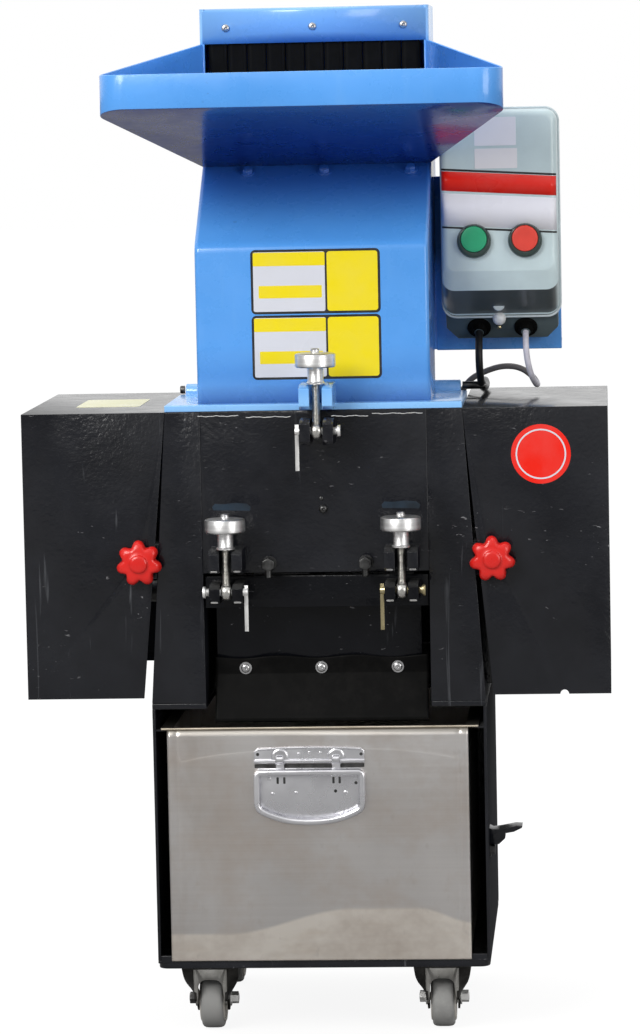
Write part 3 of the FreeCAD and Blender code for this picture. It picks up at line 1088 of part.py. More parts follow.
def make_drive():
    """Motor on the cabinet's top, its pulley and the belt to the rotor."""
    middle = "dims.motor_offset"
    body = doc.addObject("PartDesign::Body", "motor_barrel")
    circle = sketch_on(body, "YZ_Plane", "motor_barrel_circle")
    draw_circle(circle, "0 mm", "0 mm", "dims.motor_radius")
    pad = body.newObject("PartDesign::Pad", "motor_barrel_length")
    pad.Profile = circle
    bind(pad, {"Length": "dims.motor_long"})
    section = sketch_on(body, "YZ_Plane", "motor_fin_section")
    draw_outline(section, [("-1.5 mm", "dims.motor_radius - 3"), ("1.5 mm", "dims.motor_radius - 3"),
                           ("1 mm", "dims.motor_radius + dims.motor_fin"),
                           ("-1 mm", "dims.motor_radius + dims.motor_fin")])
    fin = body.newObject("PartDesign::Pad", "motor_fin_length")
    fin.Profile = section
    bind(fin, {"Length": "dims.motor_long"})
    pattern = body.newObject("PartDesign::PolarPattern", "motor_fins")
    pattern.Originals = [fin]
    pattern.Axis = (section, ["N_Axis"])
    pattern.Angle = 360
    pattern.Occurrences = 20
    body.Tip = pattern
    bind(body, {"Placement.Base.x": f"{middle} - dims.motor_long / 2", "Placement.Base.y": MOTOR_Y,
                "Placement.Base.z": MOTOR_Z})
    outer = "(dims.motor_radius + dims.motor_fin)"
    long = "(dims.motor_long / 2)"
    bell = turned("motor_left_bell",
                  [("0 mm", "-dims.motor_bell"), (f"{outer} * 0.5", "-dims.motor_bell"),
                   (f"{outer} - 2", "-6 mm"), (f"{outer} - 2", "2 mm"), ("0 mm", "2 mm")],
                  f"{middle} - {long}", MOTOR_Y, MOTOR_Z, "X")
    cowl = turned("motor_cowl",
                  [("0 mm", "-2 mm"), (f"{outer} + 1", "-2 mm"),
                   (f"{outer} + 1", "1.6 * dims.motor_bell"), (f"{outer} - 5", "2 * dims.motor_bell"),
                   ("0 mm", "2 * dims.motor_bell")],
                  f"{middle} + {long}", MOTOR_Y, MOTOR_Z, "X")
    pieces = [body, bell, cowl]
    for side in ("left", "right"):
        foot_x = f"{middle} + {mirror_sign(side)}dims.motor_long / 3 - dims.motor_foot_wide / 2"
        pieces.append(box(f"motor_{side}_foot", foot_x, f"{MOTOR_Y} - dims.motor_radius",
                          CABINET_TOP, "dims.motor_foot_wide", "2 * dims.motor_radius",
                          "dims.motor_rise - dims.motor_radius * 0.75"))
    pieces.append(box("motor_terminal_box", f"{middle} - dims.terminal_wide / 2",
                      f"{MOTOR_Y} - dims.terminal_deep / 2", f"{MOTOR_Z} + dims.motor_radius * 0.9",
                      "dims.terminal_wide", "dims.terminal_deep",
                      "dims.motor_radius * 0.1 + dims.motor_fin + dims.terminal_high"))
    keep(fused("motor", pieces))
    shaft = rod("motor_pulley_shaft", "X", f"-{PULLEY_PLACE} - dims.pulley_wide / 2 - 2", MOTOR_Y,
                MOTOR_Z, "dims.motor_shaft",
                f"{PULLEY_PLACE} + dims.pulley_wide / 2 + 2 + {middle} - {long}"
                " - dims.motor_bell - dims.slide_gap")
    wheel = turned("motor_pulley_wheel",
                   [("dims.motor_shaft - 1", "-dims.pulley_wide / 2"),
                    ("dims.motor_pulley", "-dims.pulley_wide / 2"),
                    ("dims.motor_pulley", "dims.pulley_wide / 2"),
                    ("dims.motor_shaft - 1", "dims.pulley_wide / 2")],
                   f"-{PULLEY_PLACE}", MOTOR_Y, MOTOR_Z, "X")
    keep(fused("motor_pulley", [shaft, wheel]))
    front = (sheet.lip_reach - sheet.cabinet_deep) / 2
    top = sheet.cabinet_low + sheet.cabinet_high
    left = -sheet.cabinet_wide / 2 - sheet.pulley_out - sheet.belt_wide / 2
    rotor = Vector(left, front + sheet.body_deep / 2, top + sheet.rotor_rise)
    motor = Vector(left, front + sheet.motor_setback, top + sheet.motor_rise)
    inner = loop_face(rotor, sheet.rotor_pulley + sheet.belt_gap,
                      motor, sheet.motor_pulley + sheet.belt_gap)
    outer = loop_face(rotor, sheet.rotor_pulley + sheet.belt_gap + sheet.belt_thick,
                      motor, sheet.motor_pulley + sheet.belt_gap + sheet.belt_thick)
    belt = doc.addObject("Part::Feature", "belt")
    belt.Shape = outer.cut(inner).extrude(Vector(sheet.belt_wide, 0, 0))
    keep(belt)


def make_starter():
    """Starter box on a plate welded to the hopper, with two push buttons and two glands."""
    keep(box("starter_plate", f"{HOPPER_WIDE} / 2", STARTER_BACK_Y,
             f"{FLANGE_TOP} + dims.starter_plate_low", "dims.starter_plate_wide",
             "dims.starter_plate_thick", "dims.starter_plate_high"))
    middle = f"({STARTER_X} + dims.starter_wide / 2)"
    seam = f"{STARTER_BACK_Y} - dims.starter_base_deep"
    left = f"{STARTER_X} + 2"
    right = f"{STARTER_X} + dims.starter_wide - 2"
    shell = plate("starter_base_side", "YZ_Plane",
                  [(seam, f"{STARTER_Z} + dims.starter_high - 4"),
                   (STARTER_BACK_Y, f"{STARTER_Z} + dims.starter_high - 4"),
                   (STARTER_BACK_Y, STARTER_Z), (f"{seam} + dims.starter_chin", STARTER_Z),
                   (seam, f"{STARTER_Z} + dims.starter_chin_high")],
                  left, "dims.starter_wide - 4")
    face = plate("starter_base_face", "XZ_Plane",
                 [(f"{left} + dims.starter_corner", STARTER_Z),
                  (f"{right} - dims.starter_corner", STARTER_Z),
                  (right, f"{STARTER_Z} + dims.starter_corner"),
                  (right, f"{STARTER_Z} + dims.starter_high"),
                  (left, f"{STARTER_Z} + dims.starter_high"),
                  (left, f"{STARTER_Z} + dims.starter_corner")],
                 seam, "dims.starter_base_deep")
    pieces = [common("starter_base_shell", shell, face)]
    for side in ("left", "right"):
        gland = turned(f"starter_{side}_gland",
                       [("0", "-4"), ("dims.gland_radius", "-4"), ("dims.gland_radius", "0"),
                        ("dims.grommet_radius", "0"), ("dims.grommet_radius", "dims.grommet_thick"),
                        ("dims.gland_radius", "dims.grommet_thick"),
                        ("dims.gland_radius - 1.5", "dims.gland_long"), ("0", "dims.gland_long")],
                       f"{middle} + {mirror_sign(side)}dims.gland_spread / 2",
                       f"{seam} + dims.starter_chin / 2", f"{STARTER_Z} + dims.starter_chin_high / 2",
                       "CHIN")
        pieces.append(gland)
    keep(fused("starter_base", pieces))
    cover = doc.addObject("PartDesign::Body", "starter_cover_shell")
    sketch = sketch_on(cover, "XZ_Plane", "starter_cover_outline")
    right = f"{STARTER_X} + dims.starter_wide"
    low = f"{STARTER_Z} + dims.starter_step"
    high = f"{STARTER_Z} + dims.starter_high"
    draw_outline(sketch, [(STARTER_X, low), (right, low), (right, high), (STARTER_X, high)])
    pad = cover.newObject("PartDesign::Pad", "starter_cover_depth")
    pad.Profile = sketch
    pad.Reversed = True
    bind(pad, {"Length": "dims.starter_deep - dims.starter_base_deep"})
    bind(cover, {"Placement.Base.y": STARTER_FRONT_Y})
    doc.recompute()
    face = min(pad.Shape.Faces, key=lambda item: item.CenterOfMass.y)
    index = [i for i, item in enumerate(pad.Shape.Faces, start=1) if item.isSame(face)][0]
    rounding = cover.newObject("PartDesign::Fillet", "starter_cover_round")
    rounding.Base = (pad, [f"Face{index}"])
    bind(rounding, {"Radius": "dims.starter_round"})
    cover.Tip = rounding
    front = STARTER_FRONT_Y
    seam = f"{STARTER_BACK_Y} - dims.starter_base_deep"
    rim_top = f"{low} + dims.starter_rim_high"
    chin = plate("starter_cover_chin", "YZ_Plane",
                 [(f"{front} - 10", f"{STARTER_Z} + dims.starter_ridge"),
                  (front, f"{STARTER_Z} + dims.starter_ridge"),
                  (f"{front} + dims.starter_nose_back", f"{STARTER_Z} + dims.starter_nose"),
                  (f"{seam} - dims.starter_rim_deep", rim_top),
                  (f"{seam} - dims.starter_rim_deep", f"{low} - 10"),
                  (f"{front} - 10", f"{low} - 10")],
                 f"{STARTER_X} - 10", "dims.starter_wide + 20")
    rings = [cut("starter_cover_bent", cover, chin)]
    wells = []
    for name, side in (("start", "left"), ("stop", "right")):
        x = f"{middle} + {mirror_sign(side)}dims.button_spread / 2"
        rings.append(rod(f"{name}_ring", "Y", x, f"{STARTER_FRONT_Y} - 4", BUTTON_Z,
                         "dims.button_ring + 1", "8 mm"))
        wells.append(rod(f"{name}_well", "Y", x, f"{STARTER_FRONT_Y} - 6", BUTTON_Z,
                         "dims.button_radius + dims.slide_gap",
                         "dims.button_proud + dims.button_travel + 6"))
        keep(turned(f"{name}_button",
                    [("0 mm", "0 mm"), ("dims.button_radius - 2", "0 mm"),
                     ("dims.button_radius", "2 mm"),
                     ("dims.button_radius", "dims.button_proud + 6"),
                     ("0 mm", "dims.button_proud + 6")],
                    x, f"{STARTER_FRONT_Y} - dims.button_proud", BUTTON_Z, "Y"))
    keep(cut("starter_cover", fused("starter_cover_whole", rings),
             fused("starter_cover_wells", wells)))


def make_leads():
    """Two leads from the starter box down behind the body to the motor's terminal box."""
    front = (sheet.lip_reach - sheet.cabinet_deep) / 2
    flange = sheet.cabinet_low + sheet.cabinet_high + sheet.body_high + sheet.flange_thick
    hopper_side = sheet.cabinet_wide / 2 - sheet.cheek_foot + sheet.hopper_step
    middle = hopper_side + sheet.starter_gap + sheet.starter_wide / 2
    slant = math.hypot(sheet.starter_chin, sheet.starter_chin_high)
    exit_y = front + sheet.starter_plate_setback - sheet.starter_base_deep
    exit_y += sheet.starter_chin / 2 - sheet.gland_long * sheet.starter_chin_high / slant
    exit_z = flange + sheet.starter_low + sheet.starter_chin_high / 2
    exit_z -= sheet.gland_long * sheet.starter_chin / slant
    left = middle - sheet.gland_spread / 2
    right = middle + sheet.gland_spread / 2
    box_side = sheet.motor_offset + sheet.terminal_wide / 2
    box_z = sheet.cabinet_low + sheet.cabinet_high + sheet.motor_rise + sheet.motor_radius + 30
    box_y = front + sheet.motor_setback
    routes = (
        ("black_lead", left, sheet.black_lead_radius, (
            (0, 0, 0), (0, -12, -9), (0, -18.5, -26.7), (0.5, -12.9, -43.7), (1.5, 3.1, -55.2),
            (3, 30.1, -60.7), (4, 66.1, -62.7), (4, 105.1, -61.2), (1, 143.1, -58.2),
            (-5, 163.1, -74.7), (-12, 170.1, -99.7), (-24, 161.1, -126.7), (-41, 137.1, -152.7),
            (-60, 105.1, -173.7)), 8),
        ("grey_lead", right, sheet.grey_lead_radius, (
            (0, 0, 0), (0, -12, -9), (1, -17.4, -26.7), (5, -13.9, -44.7), (10, 1.1, -56.2),
            (12, 22.1, -58.2), (7, 40.1, -50.7), (-7, 48.1, -40.7), (-26, 50.1, -38.7),
            (-45, 50.6, -44.2), (-64, 52.1, -53.7), (-75, 57.1, -73.7), (-80.5, 65.1, -101.7),
            (-88, 77.1, -131.7), (-108, 91.1, -161.7)), -15),
    )
    for name, x, radius, steps, box_step in routes:
        points = [Vector(x + i, exit_y + j, exit_z + k) for i, j, k in steps]
        points += [Vector(box_side + i, box_y + box_step, box_z) for i in (26, 0)]
        keep(lead(name, points, radius))


def make_side_lever():
    """Small lever on the cabinet's right side, on a gusset block."""
    edge = "dims.cabinet_wide / 2"
    z = "(dims.cabinet_low + dims.lever_rise)"
    y = f"({FRONT} + dims.lever_setback)"
    keep(plate("side_lever", "XZ_Plane",
               [(edge, f"{z} - 22"), (f"{edge} + 6", f"{z} - 22"), (f"{edge} + 16", f"{z} - 8"),
                (f"{edge} + 18", f"{z} - 3"), (f"{edge} + dims.lever_long", f"{z} + 3"),
                (f"{edge} + dims.lever_long", f"{z} + 6"), (f"{edge} + 16", f"{z} + 2"),
                (edge, f"{z} + 2")],
               y, "dims.lever_deep"))


make_cabinet()
for caster_end in ("front", "rear"):
    for caster_side in ("left", "right"):
        make_caster(caster_side, caster_end)
make_drawer()
make_cheek("left")
make_cheek("right")
make_front_plate()
make_rear_plate()
make_screen_cradle()
make_apron()
make_swing_bolt("left", f"-{CLAMP_SPREAD}", SIDE_PIN_Z, SIDE_SEAT_Z, 1)
make_swing_bolt("right", f"{CLAMP_SPREAD}", SIDE_PIN_Z, SIDE_SEAT_Z, -1)
make_swing_bolt("top", "dims.top_clamp_offset", TOP_PIN_Z, TOP_SEAT_Z, -1)
make_hopper()
make_feed_tray()
make_guard("left")
make_guard("right")
make_star_knob("left")
make_star_knob("right")
make_rotor()
make_drive()
make_starter()
make_leads()
make_side_lever()
doc.recompute()

for item in doc.Objects:
    if "Invalid" in item.State or "Error" in item.State:
        raise RuntimeError(f"{item.Label} failed: {item.State}")
for piece in subparts:
    if piece.Shape.isNull() or not piece.Shape.isValid():
        raise RuntimeError(f"{piece.Label} has no valid shape")

os.makedirs("parts", exist_ok=True)
for piece in subparts:
    piece.Shape.exportStep(f"parts/{piece.Label}.step")
print(len(subparts), "sub-parts written")
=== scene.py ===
import json
import math

import bmesh
import bpy
import numpy as np
from mathutils import Matrix, Vector


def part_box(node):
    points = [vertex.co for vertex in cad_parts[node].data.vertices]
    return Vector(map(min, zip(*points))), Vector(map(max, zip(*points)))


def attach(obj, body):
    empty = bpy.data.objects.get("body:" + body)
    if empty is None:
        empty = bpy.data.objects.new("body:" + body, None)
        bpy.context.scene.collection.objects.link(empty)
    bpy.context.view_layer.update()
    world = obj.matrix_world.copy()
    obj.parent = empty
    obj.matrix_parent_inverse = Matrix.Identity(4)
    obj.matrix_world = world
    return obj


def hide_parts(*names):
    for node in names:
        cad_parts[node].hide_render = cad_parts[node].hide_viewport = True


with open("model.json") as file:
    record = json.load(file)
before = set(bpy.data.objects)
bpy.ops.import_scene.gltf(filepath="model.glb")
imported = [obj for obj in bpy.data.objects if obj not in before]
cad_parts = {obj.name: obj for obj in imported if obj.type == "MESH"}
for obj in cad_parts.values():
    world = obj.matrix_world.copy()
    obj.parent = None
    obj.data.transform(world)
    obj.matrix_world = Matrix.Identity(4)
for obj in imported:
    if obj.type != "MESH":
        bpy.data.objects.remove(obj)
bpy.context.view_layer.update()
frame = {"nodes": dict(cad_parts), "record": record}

# A small plastic shredder on casters: blue flared hopper, black crushing body with two side guards,
# starter box, three swing bolts, granule drawer. x runs to the right as seen from the front, -y is the
# front, z is up. Shapes are in millimetres; camera, lights, leads and shader places are in metres.
MM = 0.001
CAMERA_AT, LENS, SENSOR = (0.3095, -4.621, 0.9842), 151.53, 36
CAMERA_DEGREES = (3.867, 5.467, -1.165)
FLOOR_HALF = 30.0
WARM_WHITE = (1.0, 0.985, 0.96)
BODY_FRONT_Y, FRAME_ENAMEL = -121.0, "black_paint"
ROTOR = np.array([0.0, -36.0, 525.0])


# -------------------- camera, light and shader nodes

def stood(name, data):
    """New object of the scene."""
    thing = bpy.data.objects.new(name, data)
    bpy.context.collection.objects.link(thing)
    return thing


def aim_camera():
    """Studio camera: a long lens 4.5 m from the machine's front, a little above its middle and to the
    right, turned back towards the machine, tilted down and rolled by CAMERA_DEGREES."""
    lens = bpy.data.cameras.new("camera")
    lens.sensor_fit = "VERTICAL"
    lens.sensor_height = lens.sensor_width = SENSOR
    lens.lens = LENS
    lens.clip_end = 2 * FLOOR_HALF
    camera = stood("camera", lens)
    turn, tilt, roll = (math.radians(a) for a in CAMERA_DEGREES)
    camera.matrix_world = (
        Matrix.Translation(CAMERA_AT) @ Matrix.Rotation(turn, 4, "Z")
        @ Matrix.Rotation(math.pi / 2 - tilt, 4, "X") @ Matrix.Rotation(roll, 4, "Z"))
    bpy.context.scene.camera = camera


class Nodes:
    """A node tree; what its methods add they return as a node or as its output."""

    def __init__(self, tree, kept=True):
        self.tree = tree
        if not kept:
            tree.nodes.clear()

    def feed(self, socket, value):
        """Link another node's output to a socket, or set the socket to a constant."""
        if isinstance(value, bpy.types.NodeSocket):
            self.tree.links.new(value, socket)
        else:
            socket.default_value = value

    def add(self, kind, inputs=(), **settings):
        node = self.tree.nodes.new("ShaderNode" + kind)
        for key, value in settings.items():
            setattr(node, key, value)
        for key, value in dict(inputs).items():
            self.feed(node.inputs[key], value)
        return node

    def maths(self, kind, first, second=0.0):
        return self.add("Math", {0: first, 1: second}, operation=kind).outputs[0]

    def times(self, first, second):
        return self.maths("MULTIPLY", first, second)

    def span(self, value, low, high, first=0.0, last=1.0):
        """value taken from low..high to first..last and held there."""
        return self.add("MapRange", {"Value": value, "From Min": low, "From Max": high,
                                     "To Min": first, "To Max": last}).outputs["Result"]

    def axes(self, vector):
        return self.add("SeparateXYZ", {0: vector}).outputs


def light_room():
    """Pale room: white where the camera or a transmitted ray looks, for light and gloss a dome that is
    white above and behind the machine and dimmer towards the floor in front of it. Three square lamps,
    each turned to the machine's axis at a height."""
    world = bpy.data.worlds.new("room")
    bpy.context.scene.world = world
    world.use_nodes = True
    room = Nodes(world.node_tree, kept=False)
    _, y, z = room.axes(room.add("TexCoord").outputs["Generated"])
    dome = room.maths("MAXIMUM", room.span(z, -0.1, 0.8, 0.0, 0.75), room.span(y, -0.1, 0.5, 0.0, 0.82))
    dome = room.maths("MINIMUM", room.maths("ADD", dome, 0.17), 1.0)
    path = room.add("LightPath").outputs
    seen = room.maths("MAXIMUM", path["Is Camera Ray"], path["Is Transmission Ray"])
    glow = room.add("Background", {"Color": (1, 1, 1, 1), "Strength": room.maths("MAXIMUM", dome, seen)})
    room.add("OutputWorld", {"Surface": glow.outputs[0]})
    for name, place, height, size, watts in (
            ("key_light", (-1.9, -3.0, 2.5), 0.6, 1.8, 105),
            ("fill_light", (2.6, -2.6, 1.3), 0.5, 1.6, 30),
            ("top_light", (0.0, 0.3, 3.0), 0.6, 1.6, 12)):
        light = bpy.data.lights.new(name, "AREA")
        light.size, light.energy, light.color = size, watts, WARM_WHITE
        way = (Vector((0.0, 0.0, height)) - Vector(place)).to_track_quat("-Z", "Y")
        stood(name, light).matrix_world = Matrix.Translation(place) @ way.to_matrix().to_4x4()
    bpy.context.scene.view_settings.view_transform = "Standard"


def lay_floor():
    """Plain pale floor. It shows the camera its own near-white colour and keeps the soft shadow."""
    mesh = bpy.data.meshes.new("floor")
    mesh.from_pydata([(x * FLOOR_HALF, y * FLOOR_HALF, 0) for x, y in ((-1, -1), (1, -1), (1, 1), (-1, 1))],
                     [], [(0, 1, 2, 3)])
    material = bpy.data.materials.new("pale_floor")
    material.use_nodes = True
    floor = Nodes(material.node_tree, kept=False)
    matt = floor.add("BsdfDiffuse", {"Color": (0.3, 0.3, 0.3, 1)}).outputs[0]
    glow = floor.add("Emission", {"Strength": 1.64}).outputs[0]
    share = floor.times(floor.add("LightPath").outputs["Is Camera Ray"], 0.55)
    floor.add("OutputMaterial", {"Surface": floor.add("MixShader", {0: share, 1: matt, 2: glow}).outputs[0]})
    mesh.materials.append(material)
    stood("floor", mesh)


aim_camera()
light_room()
lay_floor()


# -------------------- finishes

def scaled(colour, by):
    return tuple(min(1.0, c * by) for c in colour)


class Finish(Nodes):
    """A procedural material on Object coordinates, or on a piece's own UV map where turned is set."""

    def __init__(self, name, colour, rough, metal=0.0, turned=False, **shader):
        self.material = bpy.data.materials.new(name)
        self.material.use_nodes = True
        super().__init__(self.material.node_tree)
        self.shader = self.tree.nodes["Principled BSDF"]
        self.place = self.add("TexCoord").outputs["UV" if turned else "Object"]
        self.put("Base Color", (*colour, 1))
        self.put("Roughness", rough)
        self.put("Metallic", metal)
        for key, value in shader.items():
            self.put(key.replace("_", " "), value)

    def put(self, key, value):
        self.feed(self.shader.inputs[key], value)

    def grain(self, scale, detail=2.0, rough=0.5, stretch=None, distortion=0.0):
        """Noise between 0 and 1, scale in lumps a metre, drawn out along the axes where stretch is
        small."""
        where = self.place
        if stretch:
            where = self.add("Mapping", {"Vector": where, "Scale": stretch}).outputs[0]
        return self.add("TexNoise", {"Vector": where, "Scale": scale, "Detail": detail, "Roughness": rough,
                                     "Distortion": distortion}).outputs["Fac"]

    def step(self, value, low, high, last):
        """Rises smoothly from 0 to last between low and high."""
        return self.add("MapRange", {"Value": value, "From Min": low, "From Max": high, "To Max": last},
                        interpolation_type="SMOOTHSTEP").outputs["Result"]

    def blended(self, share, first, second):
        """Colour first where share is 0 and second where it is 1."""
        first, second = ((*c, 1) if isinstance(c, tuple) else c for c in (first, second))
        return self.add("Mix", {"Factor": share, 6: first, 7: second}, data_type="RGBA").outputs[2]

    def layered(self, base, *layers):
        """Colour base under (share, colour) layers, one on the other."""
        for share, colour in layers:
            base = self.blended(share, base, colour)
        return base

    def finished(self, colour, rough, *layers):
        """The material with its colour, its roughness where that isn't None, and bumps from (height,
        depth in mm, strength) layers, one on the other."""
        self.put("Base Color", colour)
        if rough is not None:
            self.put("Roughness", rough)
        inputs = {}
        for height, depth, strength in layers:
            inputs.update({"Height": height, "Distance": depth * MM, "Strength": strength})
            inputs["Normal"] = self.add("Bump", inputs).outputs[0]
        self.put("Normal", inputs["Normal"])
        return self.material

    def facing(self, low=0.75, high=0.98):
        """1 where the surface faces up and 0 on walls; with low and high below 0, 1 on walls and 0 on
        undersides."""
        return self.span(self.axes(self.add("NewGeometry").outputs["Normal"])["Z"], low, high)

    def sideways(self):
        """1 on walls that face to the left or right."""
        across = self.axes(self.add("NewGeometry").outputs["Normal"])["X"]
        return self.span(self.maths("ABSOLUTE", across), 0.9, 0.985)


def black_enamel(name="black_enamel", shade_scale=1.0):
    """Black hammered enamel: orange-peel skin, scuffs, a little dust where it faces up. The side walls
    were sprayed last and are matt."""
    f = Finish(name, (0.008, 0.0083, 0.01), 0.26, Specular_IOR_Level=0.3)
    scratch = f.span(f.grain(90, 3, 0.7, (1, 1, 0.06), 0.4), 0.63, 0.72)
    nick = f.span(f.grain(210, 2, 0.6, (0.5, 1, 1.4), 0.6), 0.7, 0.74)
    colour = f.layered(
        # a scale below 1 darkens colour and gloss: painted shade
        scaled((0.0045, 0.005, 0.0075), shade_scale),
        (f.span(f.grain(14, 4, 0.6), 0.35, 0.7), scaled((0.0105, 0.0115, 0.0155), shade_scale)),
        (f.times(scratch, f.span(f.grain(6, 3), 0.45, 0.62, 0, 0.75)), (0.085, 0.09, 0.1)),
        (f.times(nick, f.span(f.grain(16, 2), 0.5, 0.62, 0, 0.85)), (0.2, 0.2, 0.21)),
        (f.times(f.facing(), f.span(f.grain(22, 5, 0.7), 0.3, 0.75, 0.03, 0.22)), (0.3, 0.3, 0.29)))
    level, flank = f.facing(0.9, 0.97), f.sideways()
    skin = f.times(f.span(f.grain(40, 4, 0.65), 0.3, 0.7, 0.15, 0.26), f.span(level, 0, 1, 1.0, 0.95))
    gloss = f.span(level, 0, 1, 0.42 * shade_scale, 0.36)
    f.put("Specular IOR Level", f.times(gloss, f.span(flank, 0, 1, 1.0, 0.11)))
    return f.finished(
        colour,
        f.maths("MAXIMUM", skin, f.span(flank, 0, 1, 0, 0.7)),
        (f.grain(260), 0.5, f.span(level, 0, 1, 0.7, 0.08)), (f.grain(60), 0.7, f.span(level, 0, 1, 0.3, 0.05)))


def blue_enamel():
    """Blue gloss enamel on folded sheet: faint orange peel, brush drift and rubbed patches. Heights in
    metres mark where light is painted: painted shade on the neck under the tray, painted highlights on the
    hood's band and on the flange's rim and the chute's foot. Walls that face left or right and faces that
    look down get painted shade too."""
    f = Finish("blue_enamel", (0.055, 0.24, 0.72), 0.28, Coat_Weight=0.5, Coat_Roughness=0.1)
    up = f.axes(f.place)["Z"]
    base = f.layered(
        (0.07, 0.3, 0.76),
        (f.span(f.grain(5, 4, 0.6), 0.3, 0.7), (0.105, 0.375, 0.9)),
        (f.span(f.grain(60, 3, 0.6, (1, 1, 0.12)), 0.58, 0.72, 0, 0.16), (0.16, 0.42, 0.86)),
        # painted shade: the neck under the tray darker, as the tray's shadow
        (f.maths("SUBTRACT", f.step(up, 0.845, 0.912, 0.86), f.step(up, 0.925, 0.94, 0.86)),
         (0.014, 0.09, 0.46)),
        # painted shade on walls that face left or right
        (f.span(f.sideways(), 0, 1, 0, 0.65), (0.02, 0.11, 0.5)),
        # painted highlight along the hood's band
        (f.step(up, 1.044, 1.056, 0.45), (0.32, 0.57, 0.92)),
        # painted highlight on the flange's rim and the chute's foot
        (f.step(up, 0.705, 0.672, 0.6), (0.34, 0.64, 0.98)))
    # painted shade on faces that look down, such as the tray's underside
    base = f.blended(f.facing(-0.85, -0.5), (0.006, 0.034, 0.27), base)
    chip = f.times(f.span(f.grain(160), 0.7, 0.76), f.span(f.grain(9), 0.52, 0.7, 0, 0.6))
    return f.finished(
        f.blended(chip, base, (0.014, 0.07, 0.26)),
        f.span(f.grain(30, 4, 0.6), 0.3, 0.7, 0.2, 0.38),
        (f.grain(140, 1.5, 0.4), 0.35, 0.3), (f.grain(18), 1.2, 0.25))


def drawer_steel():
    """Stainless sheet brushed from side to side, with a warm wavy cast along its lower edge, and a painted
    highlight that makes it paler towards the top.
    """
    f = Finish("drawer_steel", (0.45, 0.43, 0.415), 0.34, 1.0, Anisotropic=0.4)
    brush = f.grain(420, 3, 0.6, (0.012, 1, 1))
    cloud = f.grain(7, 3, 0.55, (1, 1, 0.5))
    across, _, up = f.axes(f.place)
    shore = f.maths("SUBTRACT", f.step(across, -0.1, 0.03, 0.026), f.step(across, 0.1, 0.16, 0.016))
    depth = f.maths("SUBTRACT", f.maths("ADD", shore, 0.114), up)
    rust = f.span(f.grain(26, 3, 0.6, (0.5, 1, 1.6)), 0.5, 0.75, 0, 0.5)
    smear = f.span(f.grain(16, 4, 0.6, (1, 1, 0.3)), 0.42, 0.68)
    colour = f.layered(
        (0.6, 0.578, 0.565),
        (f.span(cloud, 0.3, 0.7), (0.7, 0.675, 0.66)),
        # painted highlight: paler towards the top
        (f.step(up, 0.24, 0.33, 0.45), (0.97, 0.94, 0.92)),
        (f.step(depth, -0.0015, 0.003, 0.85), (1.0, 0.93, 0.84)),
        (f.times(f.step(depth, 0.006, 0.02, 1.0), rust), (0.72, 0.6, 0.48)),
        (f.times(smear, f.step(across, -0.07, -0.14, 0.55)), (0.46, 0.4, 0.345)),
        (f.span(f.grain(9, 5, 0.72, (0.8, 1, 1)), 0.44, 0.68, 0, 0.6), (0.56, 0.47, 0.4)),
        (f.span(f.grain(70, 3, 0.6, (1, 1, 0.6)), 0.64, 0.74, 0, 0.25), (0.5, 0.455, 0.41)),
        (f.facing(0.05, 0.4), (0.36, 0.34, 0.31)),
        (f.span(brush, 0.35, 0.65, 0, 0.1), (0.9, 0.88, 0.86)))
    return f.finished(
        colour,
        f.span(f.maths("ADD", brush, cloud), 0.6, 1.4, 0.29, 0.38),
        (brush, 0.03, 0.16), (f.grain(6), 3.0, 0.12), (f.grain(34, 3), 0.5, 0.06))


def bare_steel(name, low, high, rough, lump=60, depth=0.06):
    """Bare or plated steel: cloudy tone between two colours, fine tool marks, varied gloss."""
    f = Finish(name, high, rough, 1.0)
    cloud = f.grain(lump, 4, 0.6)
    return f.finished(
        f.blended(f.span(cloud, 0.3, 0.7), low, high),
        f.span(f.grain(lump * 3, 3), 0.3, 0.7, rough - 0.07, rough + 0.08),
        (f.grain(700), depth, 0.4), (cloud, 0.2, 0.15))


def lathe_steel():
    """Steel straight from the lathe: rings one beside the other along the turned profile."""
    f = Finish("lathe_steel", (0.62, 0.63, 0.65), 0.24, 1.0, turned=True)
    f.place = f.add("CombineXYZ", {"Y": f.axes(f.place)["Y"]}).outputs[0]
    tone = f.grain(240)
    return f.finished(
        f.blended(f.span(tone, 0.35, 0.65), (0.7, 0.7, 0.7), (0.86, 0.86, 0.86)),
        f.span(tone, 0.3, 0.7, 0.3, 0.42),
        (f.grain(2600), 0.03, 0.4))


def moulded(name, colour, rough, lump=500, depth=0.05, fade=0.12, below=1.0, **shader):
    """Moulded plastic: fine grain, slight drift of tone, and gloss that varies from handling. Faces
    that look down get painted shade, their colour scaled by below."""
    f = Finish(name, colour, rough, **shader)
    drift = f.span(f.grain(24, 4, 0.6), 0.3, 0.7)
    base = f.blended(drift, scaled(colour, 1 - fade), scaled(colour, 1 + fade))
    # painted shade on faces that look down
    if below < 1.0:
        base = f.blended(f.facing(-0.7, -0.45), scaled(colour, below), base)
    return f.finished(
        base,
        f.span(f.grain(60, 3), 0.3, 0.7, rough - 0.06, rough + 0.08),
        (f.grain(lump), depth, 0.5))


def rubber(name, colour, rough, worn, shine=0.3):
    """Rubber or soft sheath: matt skin, paler where it is rubbed or dusty."""
    f = Finish(name, colour, rough, Specular_IOR_Level=shine)
    dust = f.times(f.span(f.grain(50, 5, 0.7), 0.45, 0.75), f.span(f.grain(9), 0.35, 0.65, 0.1, 0.7))
    return f.finished(
        f.blended(dust, colour, worn),
        f.span(f.grain(30, 3), 0.3, 0.7, rough - 0.1, rough + 0.1),
        (f.grain(350, 3), 0.12, 0.4))


